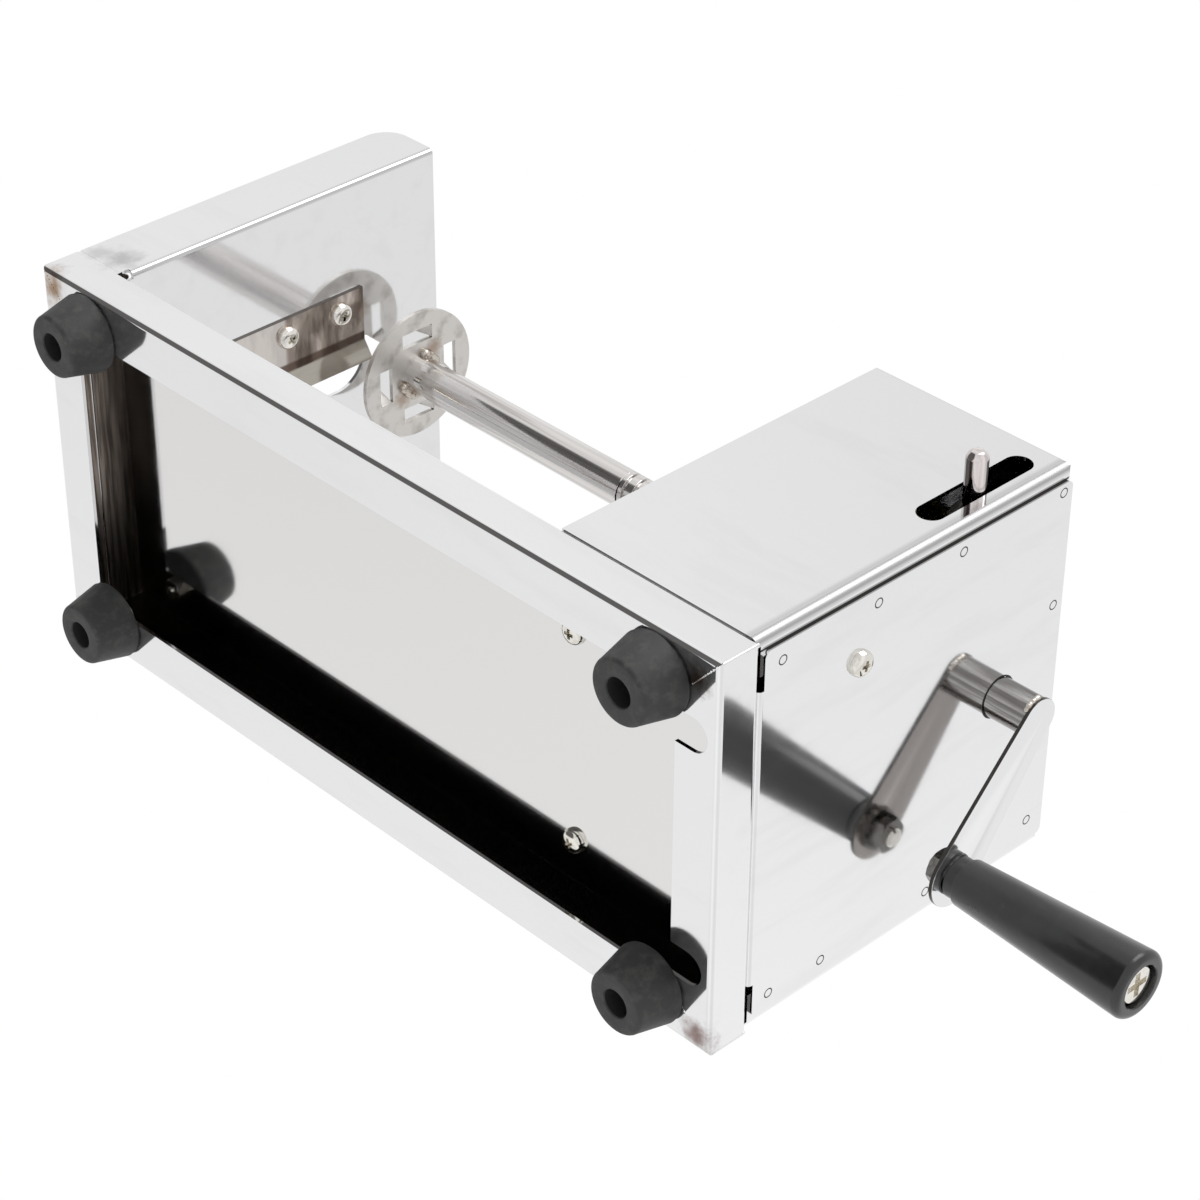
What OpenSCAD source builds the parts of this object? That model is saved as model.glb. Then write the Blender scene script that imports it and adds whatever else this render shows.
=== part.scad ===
/* [Base] */
// Length of the base pan
base_l = 285.8; // [270:0.1:320]
// Width of the base pan, upright and housing
base_w = 130; // [124:0.5:150]
// Depth of the base pan
base_h = 14.5; // [13:0.1:22]
// Thickness of every folded sheet
sheet_t = 1.2; // [0.8:0.1:1.5]
// Outer radius of the folds
bend_r = 1.6; // [1.5:0.1:4]
// Width of the lips along the long sides
side_lip = 16.5; // [12:0.1:22]
// Width of the lips along the short ends
end_lip = 15.5; // [12:0.1:22]

/* [Feet] */
// Height of a rubber foot
foot_h = 14; // [12:0.1:20]
// Diameter of a foot at the lip
foot_d = 25.5; // [22:0.1:28]
// Diameter of a foot at the bench
foot_tip_d = 20; // [16:0.1:24]
// Diameter of the screw recess in a foot
foot_bore_d = 8.7; // [8.4:0.1:10]
// Distance from a foot's axis to the end of the base
foot_in_x = 22.4; // [18:0.1:30]
// Distance from a foot's axis to the side of the base
foot_in_y = 13.3; // [10:0.1:16]

/* [Front upright] */
// Height of the upright above the base
upright_h = 122.5; // [118:0.5:140]
// Depth of the upright over its flanges
upright_depth = 21.7; // [16:0.1:26]
// Radius of the upper front corner of the flanges
flange_corner_r = 9; // [5:0.5:14]
// Width of the stick's hole on the rod's axis, and of its way into the slice slot
core_hole_d = 5.8; // [5:0.1:7]
// Width of the slice slot beside the blade
slice_slot_w = 16; // [14:0.1:18]
// Distance from the rod's axis to the bottom of the slice slot
slice_slot_drop = 42; // [36:0.5:50]

/* [Blade] */
// Thickness of the blade
blade_t = 0.8; // [0.6:0.1:1.5]
// Width of the blade's screwed flange
blade_flange_w = 19.2; // [16:0.1:24]
// Length of the blade
blade_l = 52; // [44:0.5:58]
// Distance from the rod's axis down to the blade's end
blade_end_drop = 7.1; // [5:0.1:10]
// Height of the cutting edge over the upright, the slice thickness
blade_rise = 4.6; // [3:0.1:6]
// Distance between the blade's two screws
blade_screw_pitch = 21.8; // [18:0.1:26]

/* [Housing] */
// Length of the housing along the rod
housing_l = 73.3; // [66:0.1:84]
// Height of the housing above the base
housing_h = 124.4; // [121:0.1:140]
// Outer radius of the housing's folds at the crank end
housing_bend_r = 2.4; // [2:0.1:5]
// Width of the flanges folded in behind the end plate
rear_flange_w = 12; // [9:0.5:15]
// Width of the release pin's slot
pin_slot_w = 8.5; // [8:0.1:12]
// Length of the release pin's slot
pin_slot_l = 44.2; // [40:0.1:50]

/* [Rod and crank] */
// Distance from the top of the housing down to the rod's axis
axis_drop = 26.4; // [22:0.1:30]
// Diameter of the push rod
rod_d = 12.5; // [10:0.1:13]
// Lead of the rod's thread, one slice per turn
thread_pitch = 4; // [3:0.1:5]
// Depth of the rod's thread
thread_depth = 1; // [0.6:0.1:1.5]
// Length of the threaded stretch of the rod
thread_l = 148; // [130:1:156]
// Diameter of the drive disc
disc_d = 44; // [38:0.5:46]
// Thickness of the drive disc
disc_t = 1.5; // [1:0.1:2.5]
// Distance from the upright to the drive disc, rod fully forward
disc_gap = 17.2; // [15:0.1:24]
// Gap between the end plate and the crank arm, rod fully forward
arm_gap = 14; // [12:0.5:20]
// Distance from the rod's axis to the handle's axis
crank_r = 49; // [40:0.5:56]
// Thickness of the crank arm
arm_t = 1.3; // [1:0.1:3]
// Diameter of the arm's end at the handle
arm_end_d = 20; // [17:0.5:24]
// Length of the handle grip
grip_l = 65.2; // [50:0.1:90]
// Diameter of the grip at its outer end
grip_d = 20.8; // [19:0.1:24]
// Diameter of the grip at the crank arm
grip_neck_d = 14.5; // [13.5:0.1:17]

/* [Release lever] */
// Diameter of the release pin
pin_d = 6.5; // [5:0.1:8]
// How far the release pin stands out of the housing
pin_out = 11.8; // [10:0.1:20]
// Thickness of the lever
lever_t = 2.5; // [2:0.1:3]
// Wire diameter of the lever spring
wire_d = 1; // [0.7:0.1:1.1]
// Diameter of the spring's coils at the middle of the wire
coil_d = 8.2; // [8:0.1:9.5]

/* [Screws] */
// Thread diameter of the screws
screw_d = 4; // [3:0.1:4.2]
// Diameter of the screw heads
head_d = 7.8; // [6.5:0.1:8]
// Height of the screw heads
head_h = 2.5; // [2:0.1:3]
// Width of the nuts across their flats
nut_w = 7; // [6:0.1:7.5]
// Height of the nuts
nut_h = 3.2; // [2.4:0.1:3.6]

/* [Hidden] */

// Clearances: one running fit, one gap between parts that move apart, one slack in a screw hole
fit_gap = 0.03;
seat_gap = 0.3;
hole_slack = 0.4;
// One overrun for every cut
over = 2;
smooth = 64;

// Levels, measured up from the bench
lip_z = foot_h;
deck_z = lip_z + base_h;
housing_top = deck_z + housing_h;
axis_z = housing_top - axis_drop;

// Places along the machine, measured from the front end of the base
plate_x = upright_depth;
housing_x = base_l - housing_l;
end_plate_x = base_l - sheet_t;
disc_x = plate_x + disc_gap;
arm_x = base_l + arm_gap;
rod_end = arm_x + arm_t;
grip_gap = seat_gap;
grip_x = rod_end + grip_gap;
grip_end = grip_x + grip_l;

// The origin is at the bottom centre of the whole part's box
half_w = base_w / 2;
mid_x = grip_end / 2;
mid_y = -pin_out / 2;

// Rod and its running fits
rod_r = rod_d / 2;
bore_r = rod_r + fit_gap;
thread_start = base_l - thread_l;
groove_count = floor(thread_l / thread_pitch);
groove_top_w_share = 0.42;
groove_floor_w_share = 0.16;
bush_flange_t = 1;
front_bush_r = rod_r + 2.8;
front_bush_l = 15;
front_bush_lip = 2.4;
plate_hole_d = rod_d + 1.1;
rear_bush_lip = 2;
end_chamfer = 0.8;

// Release mechanism, in the slice of the housing before the end plate
pin_in_x = 11.4;
pin_x = base_l - pin_in_x;
pin_drop = 3;
pin_z = axis_z - pin_drop;
pin_r = pin_d / 2;
pin_inside = 23.4;
pin_nose = 2;
// Outline of the pin's nose, as shares of its radius and length
pin_nose_shares = [[0, 0], [0.56, 0], [0.87, 0.5], [1, 1]];
lever_x = pin_x - pin_r - lever_t;
nut_face_x = lever_x + lever_t;
half_nut_l = end_plate_x - bush_flange_t - hole_slack - nut_face_x;
half_nut_w = 19;
half_nut_top = 13;
half_nut_foot = 0.6;
pivot_in_y = 20;
pivot_y = half_w - pivot_in_y;
pivot_up = 5.5;
pivot_r = 3;
pivot_shoulder_r = 4.5;
pivot_nose = 4;
clip_t = 0.8;
clip_r = 5;
clip_groove_r = 2.4;
lever_boss_r = 8;
lever_mid_r = 9.5;
lever_mid_up = 8;
lever_end_r = 6;
lever_end_in_y = 13;
lever_end_y = lever_end_in_y - half_w;
lever_notch_r = rod_r + 2.2;
bar_w_share = 0.95;
small_screw_d = 3;
small_head_d = 5.5;
small_head_h = 1.8;
small_screw_y = 6.4;
small_screw_up = 10;

// Lever spring: a close wound pull spring from a hole in the lever down to a long screw
spring_in_y = 24.7;
spring_y = spring_in_y - half_w;
spring_x = lever_x + lever_t / 2;
hook_hole_d = 2.2;
hook_hole_down = 4.2;
post_up = 53;
post_z = lip_z + post_up;
post_nose = 24;
coil_r = coil_d / 2;
wire_r = wire_d / 2;
hook_inner_r = coil_r - wire_r;
hook_lead = 3;
hook_sweep = 200;
coil_pitch = 1.75;
coil_steps = 8;
wire_sides = 6;
hook_steps = 10;

// Slot for the release pin
pin_slot_down = 29.4;

// Fasteners
screw_r = screw_d / 2;
clear_r = screw_r + hole_slack / 2;
recess_w_share = 0.16;
recess_l_share = 0.62;
recess_depth_share = 0.6;
// Outline of a pan head, as shares of its diameter and height
head_shares = [[0, 1], [0.26, 0.97], [0.41, 0.78], [0.49, 0.42], [0.5, 0], [0, 0]];
// A nut's chamfer as a share of its height, and two diameters as shares of its width
nut_chamfer_share = 0.14;
nut_face_share = 1.02;
nut_corner_share = 1.2;
housing_screw_in = 6.3;
housing_screw_y = 35.6;
wall_foot_l = 14;
wall_flange_l = 12;
foot_seat_up = 8.8;
washer_t = 0.8;
foot_edge_r = 1.2;
foot_grip = 6.2;

// Base pan: relief notches in the rear lip
notch_w = 10.7;
notch_y = 38.8;
notch_depth = 11.8;

// Upright: relief cut at the bottom of each fold
relief = 2.4;
relief_h = 3.2;

// Openings of the upright, measured from the rod's axis: the slot's top and corners, and the way into it
slot_top_drop = 6.8;
slot_left_y = -8.2;
slot_arc_r = 11.5;
slot_corner_r = 3;
core_run = [-6.2, -7];

// End plate
plate_side_in = 4.2;
plate_lift = 1.9;
plate_top_in = 1.2;
plate_corner_r = 2;
flange_lift = 1.3;
plate_foot_w = 98;
plate_foot_l = 14;

// Blade: the flange's outer edge and the slope of the cutting strip
blade_fold_y = -8.2;
blade_strip_y = 5.6;
blade_bevel = 2.4;
blade_screw_edge = 6.4;
blade_first_screw = 9.6;

// Drive disc: four punched windows, each with a bent tooth
window_l = 12.5;
window_w = 5;
window_r = 13.5;
tooth_l = 5;
tooth_w = 4.4;
tooth_t_share = 0.6;
tooth_root_share = 0.3;
tooth_t = disc_t * tooth_t_share;
tooth_root = disc_t * tooth_root_share;
tooth_tilt = 40;
weld_r = 2.1;
weld_turn = 135;
weld_sweep = 50;

// Crank
arm_top_d = rod_d + 0.6;
arm_weld_turns = [30, 150];
crank_angle = -40;
crank_y = crank_r * cos(crank_angle);
crank_z = axis_z + crank_r * sin(crank_angle);
bolt_r = 3;
bolt_nose = 1.8;
bolt_head_d = 12.6;
bolt_head_h = 3;
bolt_sink = 1.4;
grip_collar_d = 12.6;
grip_collar_l = 3.8;
grip_edge_r = 2.2;
big_nut_w = 10;
big_nut_h = 4.2;
big_washer_d = 13;
big_washer_t = 1;

// Machine coordinates to the part's own frame
module placed() translate([-mid_x, -mid_y, 0]) children();

// A solid of revolution about X, drawn with x along the axis and y as the radius
module turned_x(sweep = 360) rotate([0, 90, 0]) rotate([0, 0, 90])
    rotate_extrude(angle = sweep, $fn = smooth) rotate([0, 0, -90]) mirror([1, 0]) children();

module rod_x(r, x0, x1) translate([x0, 0, 0]) rotate([0, 90, 0]) cylinder(r = r, h = x1 - x0, $fn = smooth);

// A rectangle whose corners are rounded, in the order lower left, lower right, upper right, upper left
module soft_rect(w, h, radii) difference() {
    square([w, h]);
    for (i = [0 : 3]) if (radii[i] > 0) {
        right = i == 1 || i == 2;
        up = i > 1;
        translate([right ? w : 0, up ? h : 0]) mirror([right ? 1 : 0, 0]) mirror([0, up ? 1 : 0])
            difference() {
                translate([-over, -over]) square(radii[i] + over);
                translate([radii[i], radii[i]]) circle(radii[i], $fn = smooth);
            }
    }
}

// Extrusions of a flat outline along X and along Y
module along_x(l) rotate([90, 0, 90]) linear_extrude(l) children();
module along_x_mid(l) rotate([90, 0, 90]) linear_extrude(l, center = true) children();
module along_y(l) translate([0, l, 0]) rotate([90, 0, 0]) linear_extrude(l) children();

// A pan head screw with a cross recess: the shank runs along +Z from the head's seat at zero
module pan_screw(l, d = screw_d, hd = head_d, hh = head_h) difference() {
    union() {
        rotate_extrude($fn = smooth) polygon([for (p = head_shares) [hd * p[0], -hh * p[1]]]);
        cylinder(d = d, h = l - end_chamfer / 2, $fn = smooth);
        translate([0, 0, l - end_chamfer / 2])
            cylinder(d1 = d, d2 = d - end_chamfer, h = end_chamfer / 2, $fn = smooth);
    }
    for (turn = [0, 90]) rotate([0, 0, turn])
        translate([-hd * recess_l_share / 2, -hd * recess_w_share / 2, -hh - over])
            cube([hd * recess_l_share, hd * recess_w_share, hh * recess_depth_share + over]);
}

// A hexagon nut on the Z axis, with chamfered corners
module hex_nut(w = nut_w, h = nut_h, bore = screw_d) difference() {
    c = h * nut_chamfer_share;
    face = w * nut_face_share;
    corner = w * nut_corner_share;
    intersection() {
        cylinder(r = w / sqrt(3), h = h, $fn = 6);
        union() {
            translate([0, 0, c]) cylinder(d = corner, h = h - 2 * c, $fn = smooth);
            cylinder(d1 = face, d2 = corner, h = c, $fn = smooth);
            translate([0, 0, h - c]) cylinder(d1 = corner, d2 = face, h = c, $fn = smooth);
        }
    }
    translate([0, 0, -over]) cylinder(d = bore, h = h + 2 * over, $fn = smooth);
}

// Base

// The folded box of the base; inset shrinks it by one sheet for the hollow
module pan_block(inset) {
    r = bend_r - inset;
    l = base_l - 2 * inset;
    w = base_w - 2 * inset;
    h = base_h - 2 * inset;
    translate([inset, -half_w + inset, lip_z + inset]) intersection() {
        along_x(l) soft_rect(w, h, [r, r, r, r]);
        along_y(w) soft_rect(l, h, [r, r, r, r]);
    }
}

module foot_places() for (x = [foot_in_x, base_l - foot_in_x], side = [-1, 1])
    translate([x, side * (half_w - foot_in_y), 0]) children();

module housing_screw_places() for (side = [-1, 1])
    translate([housing_x + housing_screw_in, side * housing_screw_y, deck_z - sheet_t]) children();

module base_pan() color("gainsboro") difference() {
    pan_block(0);
    pan_block(sheet_t);
    translate([end_lip, -half_w + side_lip, lip_z - over])
        cube([base_l - 2 * end_lip, base_w - 2 * side_lip, base_h / 2]);
    for (side = [-1, 1]) {
        translate([base_l - end_lip + notch_depth - notch_w / 2, side * notch_y, lip_z - over]) {
            cylinder(d = notch_w, h = base_h / 2, $fn = smooth);
            translate([-end_lip, -notch_w / 2, 0]) cube([end_lip, notch_w, base_h / 2]);
        }
    }
    foot_places() translate([0, 0, lip_z - over]) cylinder(r = clear_r, h = base_h / 2, $fn = smooth);
    housing_screw_places() translate([0, 0, -over]) cylinder(r = clear_r, h = 3 * over, $fn = smooth);
}

// Feet

module foot() color("dimgray") rotate_extrude($fn = smooth) {
    r = foot_edge_r;
    tip = foot_tip_d / 2;
    top = foot_d / 2;
    lean = (top - tip) / foot_h;
    arc = [for (a = [0 : 30 : 90]) [tip - r + r * sin(a) + lean * r * (1 - cos(a)), r - r * cos(a)]];
    polygon(concat(
        [[foot_bore_d / 2, 0]], arc,
        [[top - r * lean - r / 2, foot_h - r], [top - r / 2, foot_h]],
        [[clear_r, foot_h], [clear_r, foot_seat_up], [foot_bore_d / 2, foot_seat_up]]
    ));
}

module foot_front_left() translate([foot_in_x, -half_w + foot_in_y, 0]) foot();
module foot_front_right() translate([foot_in_x, half_w - foot_in_y, 0]) foot();
module foot_rear_left() translate([base_l - foot_in_x, -half_w + foot_in_y, 0]) foot();
module foot_rear_right() translate([base_l - foot_in_x, half_w - foot_in_y, 0]) foot();

module foot_screws() color("silver") foot_places()
    translate([0, 0, foot_seat_up - washer_t]) pan_screw(washer_t + foot_grip + sheet_t + nut_h);

module foot_washers() color("silver") foot_places()
    translate([0, 0, foot_seat_up - washer_t]) difference() {
        cylinder(d = foot_bore_d - hole_slack, h = washer_t, $fn = smooth);
        translate([0, 0, -over]) cylinder(r = clear_r, h = washer_t + 2 * over, $fn = smooth);
    }

module foot_nuts() color("silver") foot_places() translate([0, 0, lip_z + sheet_t]) hex_nut();

// Front upright and blade

blade_outer_y = blade_fold_y - blade_flange_w;
blade_screw_at_y = blade_outer_y + blade_screw_edge;
function blade_screw_z(i) = axis_z - blade_first_screw - blade_end_drop - i * blade_screw_pitch;

module blade_screw_places() for (i = [0, 1]) translate([0, blade_screw_at_y, blade_screw_z(i)]) children();

module front_upright() color("gainsboro") difference() {
    translate([0, -half_w, deck_z]) intersection() {
        linear_extrude(upright_h) soft_rect(upright_depth, base_w, [0, bend_r, bend_r, 0]);
        along_y(base_w) soft_rect(upright_depth, upright_h, [0, 0, 0, flange_corner_r]);
    }
    inner_r = bend_r - sheet_t;
    translate([-over, -half_w + sheet_t, deck_z - over]) linear_extrude(upright_h + 2 * over)
        soft_rect(upright_depth - sheet_t + over, base_w - 2 * sheet_t, [0, inner_r, inner_r, 0]);
    translate([plate_x - sheet_t - over, 0, axis_z]) along_x(sheet_t + 2 * over) {
        translate([slot_left_y, -slice_slot_drop]) soft_rect(
            slice_slot_w, slice_slot_drop - slot_top_drop, [slot_corner_r, slot_corner_r, slot_arc_r, 0]
        );
        circle(core_hole_d / 2, $fn = smooth);
        translate(core_run) circle(core_hole_d / 2, $fn = smooth);
        polygon(bar_sides([0, 0], core_hole_d / 2, core_run, core_hole_d / 2));
    }
    blade_screw_places() rod_x(clear_r, plate_x - sheet_t - over, plate_x + over);
    for (side = [-1, 1]) translate([plate_x - relief, side * (half_w - relief / 2), deck_z - over])
        translate([0, -relief / 2, 0]) cube([relief + over, relief, relief_h + over]);
}

module blade() color("lightgray") difference() {
    face = plate_x + blade_t;
    tip = [plate_x + blade_rise, blade_fold_y + blade_strip_y];
    run = tip - [face, blade_fold_y];
    way = run / norm(run);
    under = [-way[1], way[0]] * blade_t;
    translate([0, 0, axis_z - blade_end_drop - blade_l]) linear_extrude(blade_l) polygon([
        [plate_x, blade_outer_y], [face, blade_outer_y], [face, blade_fold_y], tip,
        tip + under - way * blade_bevel, [plate_x, blade_fold_y + under[1] / 2]
    ]);
    blade_screw_places() rod_x(clear_r, plate_x - over, plate_x + blade_t + over);
}

module blade_screws() color("silver") blade_screw_places() translate([plate_x + blade_t, 0, 0])
    rotate([0, -90, 0]) pan_screw(blade_t + sheet_t + nut_h + end_chamfer);

module blade_nuts() color("silver") blade_screw_places()
    translate([plate_x - sheet_t, 0, 0]) rotate([0, -90, 0]) hex_nut();

// Housing

// The block that the cover is folded round; inset shrinks it by one sheet for the hollow
module cover_block(inset, drop) {
    l = end_plate_x - housing_x - inset;
    w = base_w - 2 * inset;
    h = housing_h - inset;
    r = housing_bend_r - inset;
    top_r = bend_r - inset;
    translate([housing_x, -half_w + inset, deck_z - drop]) intersection() {
        along_x(l) soft_rect(w, h + drop, [0, 0, top_r, top_r]);
        along_y(w) soft_rect(l, h + drop, [0, 0, r, 0]);
        linear_extrude(h + drop) soft_rect(l, w, [0, r, r, 0]);
    }
}

module housing_cover() color("gainsboro") difference() {
    cover_block(0, 0);
    cover_block(sheet_t, over);
    translate([housing_x - over, -half_w + sheet_t, deck_z - over])
        cube([2 * over, base_w - 2 * sheet_t, housing_h - sheet_t + over]);
    translate([end_plate_x - over - sheet_t, -half_w + rear_flange_w, deck_z - over])
        cube([sheet_t + 2 * over, base_w - 2 * rear_flange_w, housing_h - rear_flange_w + over]);
    translate([end_plate_x - over, -half_w + housing_bend_r, deck_z - over])
        cube([2 * over, base_w - 2 * housing_bend_r, over + flange_lift]);
    slot_straight = pin_slot_l - pin_slot_w;
    translate([pin_x, -half_w - over, housing_top - pin_slot_down]) {
        for (end = [-1, 1]) translate([0, 0, end * slot_straight / 2]) rotate([-90, 0, 0])
            cylinder(d = pin_slot_w, h = sheet_t + 2 * over, $fn = smooth);
        translate([-pin_slot_w / 2, 0, -slot_straight / 2])
            cube([pin_slot_w, sheet_t + 2 * over, slot_straight]);
    }
}

wall_w = base_w - 2 * sheet_t;
wall_h = housing_h - sheet_t;

module housing_front_wall() color("gainsboro") translate([housing_x, 0, 0]) difference() {
    translate([0, -wall_w / 2, deck_z]) intersection() {
        cube([wall_foot_l, wall_w, wall_h]);
        linear_extrude(wall_h) soft_rect(wall_foot_l + over, wall_w, [bend_r, 0, 0, bend_r]);
        along_y(wall_w) soft_rect(wall_foot_l + over, wall_h, [bend_r, 0, 0, bend_r]);
        along_x(wall_foot_l) soft_rect(wall_w, wall_h, [0, 0, bend_r, bend_r]);
    }
    translate([sheet_t, -wall_w / 2 + sheet_t, deck_z + sheet_t])
        cube([wall_foot_l + over, wall_w - 2 * sheet_t, wall_h - 2 * sheet_t]);
    translate([wall_flange_l, -wall_w / 2 - over, deck_z + sheet_t])
        cube([wall_foot_l, wall_w + 2 * over, wall_h]);
    translate([0, 0, axis_z]) rod_x(front_bush_r + fit_gap, -over, sheet_t + over);
    for (side = [-1, 1]) translate([housing_screw_in, side * housing_screw_y, deck_z - over])
        cylinder(r = clear_r, h = 3 * over, $fn = smooth);
}

module housing_end_plate() color("gainsboro") difference() {
    plate_w = base_w - 2 * plate_side_in;
    plate_z = deck_z + plate_lift;
    plate_h = housing_top - plate_top_in - plate_z;
    union() {
        translate([end_plate_x, -plate_w / 2, plate_z]) along_x(sheet_t)
            soft_rect(plate_w, plate_h, [plate_corner_r, plate_corner_r, plate_corner_r, plate_corner_r]);
        translate([base_l - plate_foot_l, -plate_foot_w / 2, deck_z]) difference() {
            along_y(plate_foot_w) soft_rect(plate_foot_l, plate_foot_l, [0, bend_r, 0, 0]);
            translate([-over, -over, sheet_t]) along_y(plate_foot_w + 2 * over)
                soft_rect(plate_foot_l - sheet_t + over, plate_foot_l, [0, bend_r - sheet_t, 0, 0]);
        }
    }
    translate([0, 0, axis_z]) rod_x(plate_hole_d / 2, end_plate_x - over, base_l + over);
    translate([0, spring_y, post_z]) rod_x(clear_r, end_plate_x - over, base_l + over);
}

module housing_screws() color("silver") housing_screw_places() pan_screw(2 * sheet_t + nut_h + end_chamfer);

module housing_nuts() color("silver") housing_screw_places() translate([0, 0, 2 * sheet_t]) hex_nut();

// Rod, bushes and drive disc

module front_bush() color("goldenrod") translate([0, 0, axis_z]) difference() {
    union() {
        rod_x(front_bush_r + front_bush_lip, housing_x - bush_flange_t - seat_gap, housing_x - seat_gap);
        rod_x(front_bush_r, housing_x - bush_flange_t - seat_gap, housing_x + front_bush_l);
    }
    rod_x(bore_r, housing_x - over - bush_flange_t, housing_x + front_bush_l + over);
}

module rear_bush() color("black") translate([0, 0, axis_z]) difference() {
    union() {
        rod_x(plate_hole_d / 2 + rear_bush_lip, end_plate_x - bush_flange_t, end_plate_x);
        rod_x(plate_hole_d / 2, end_plate_x - bush_flange_t, base_l);
    }
    rod_x(bore_r, end_plate_x - over, base_l + over);
}

// Points of one thread groove in the rod's outline, from its crank side to its front side
function groove(i) = let (
    x = thread_start + (i + 0.5) * thread_pitch,
    low = rod_r - thread_depth,
    top_half = thread_pitch * groove_top_w_share / 2,
    floor_half = thread_pitch * groove_floor_w_share / 2
) [[x - top_half, rod_r], [x - floor_half, low], [x + floor_half, low], [x + top_half, rod_r]];

module push_rod() color("darkgray") translate([0, 0, axis_z]) turned_x() polygon(concat(
    [[disc_x, 0], [disc_x, rod_r]],
    [for (i = [0 : groove_count - 1]) each groove(i)],
    [[arm_x, rod_r], [arm_x, 0]]
));

// One tooth: a triangle rooted in a window's short end and tilted towards the potato
module tooth() rotate([0, tooth_tilt, 0]) along_x_mid(tooth_t)
    polygon([[-tooth_w / 2, tooth_root], [tooth_w / 2, tooth_root], [0, -tooth_l]]);

module drive_disc() color("silver") translate([disc_x, 0, axis_z]) {
    difference() {
        rod_x(disc_d / 2, 0, disc_t);
        rod_x(rod_r, -over, disc_t + over);
        for (side = [-1, 1]) {
            translate([-over, side * window_r - window_w / 2, -window_l / 2])
                cube([disc_t + 2 * over, window_w, window_l]);
            translate([-over, -window_l / 2, side * window_r - window_w / 2])
                cube([disc_t + 2 * over, window_l, window_w]);
        }
    }
    for (side = [-1, 1]) {
        translate([disc_t / 2, side * window_r, window_l / 2]) tooth();
        translate([disc_t / 2, window_l / 2, side * window_r]) rotate([-90, 0, 0]) tooth();
    }
    for (turn = [weld_turn, weld_turn + 180]) rotate([turn - weld_sweep / 2, 0, 0])
        turned_x(weld_sweep) polygon([
            [disc_t / 2, bore_r], [disc_t / 2, rod_r + weld_r],
            [disc_t, rod_r + weld_r], [disc_t + weld_r, bore_r]
        ]);
}

// Crank and handle

module crank_arm() color("silver") difference() {
    translate([arm_x, 0, axis_z]) rotate([crank_angle, 0, 0]) {
        rod_x(arm_top_d / 2, 0, arm_t);
        translate([0, crank_r, 0]) rod_x(arm_end_d / 2, 0, arm_t);
        along_x(arm_t) polygon(arm_sides());
        for (turn = arm_weld_turns) rotate([turn, 0, 0]) translate([0, 0, rod_r]) difference() {
            sphere(weld_r, $fn = smooth);
            translate([0, -weld_r * 2, -weld_r * 2]) cube(weld_r * 4);
        }
    }
    translate([0, 0, axis_z]) rod_x(rod_r, arm_x - weld_r - over, arm_x);
    translate([0, crank_y, crank_z]) rod_x(bolt_r + fit_gap, arm_x - over, rod_end + over);
}

// Where the arm's straight sides leave its two round ends
function arm_sides() = let (r0 = arm_top_d / 2, r1 = arm_end_d / 2, a = acos((r0 - r1) / crank_r))
    [[r0 * cos(a), r0 * sin(a)], [crank_r + r1 * cos(a), r1 * sin(a)],
     [crank_r + r1 * cos(a), -r1 * sin(a)], [r0 * cos(a), -r0 * sin(a)]];

module at_handle() translate([0, crank_y, crank_z]) children();

module handle_bolt() color("silver") at_handle() difference() {
    tip = arm_x - big_washer_t - big_nut_h - bolt_nose;
    face = grip_end - bolt_sink;
    head_r = bolt_head_d / 2;
    cross_l = bolt_head_d * recess_l_share;
    cross_w = bolt_head_d * recess_w_share;
    turned_x() polygon([
        [tip, 0], [tip, bolt_r - end_chamfer], [tip + end_chamfer, bolt_r],
        [face - bolt_head_h, bolt_r], [face - bolt_head_h, head_r],
        [face - end_chamfer, head_r], [face, head_r - end_chamfer], [face, 0]
    ]);
    for (turn = [0, 90]) translate([face, 0, 0]) rotate([turn, 0, 0])
        translate([-bolt_head_h * recess_depth_share, -cross_l / 2, -cross_w / 2])
            cube([bolt_head_h, cross_l, cross_w]);
}

module handle_washer() color("silver") at_handle() difference() {
    rod_x(big_washer_d / 2, arm_x - big_washer_t, arm_x);
    rod_x(bolt_r + fit_gap, arm_x - big_washer_t - over, arm_x + over);
}

module handle_nut() color("silver") at_handle() translate([arm_x - big_washer_t, 0, 0]) rotate([0, -90, 0])
    hex_nut(big_nut_w, big_nut_h, 2 * bolt_r);

module handle_grip() color("black") at_handle() turned_x() {
    bore = bolt_r + fit_gap;
    r = grip_end - bolt_sink - bolt_head_h - seat_gap;
    e = grip_edge_r;
    neck = grip_neck_d / 2;
    big = grip_d / 2;
    lip = bolt_head_d / 2 + seat_gap;
    polygon(concat(
        [[grip_x, bore], [grip_x, grip_collar_d / 2], [grip_x + grip_collar_l, grip_collar_d / 2]],
        [[grip_x + grip_collar_l, neck - e / 4], [grip_x + grip_collar_l + e / 4, neck]],
        [for (a = [0 : 15 : 90]) [grip_end - e + e * sin(a), big - e + e * cos(a)]],
        [[grip_end, lip], [r, lip], [r, bore]]
    ));
}

// Release lever, half nut and spring

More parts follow.
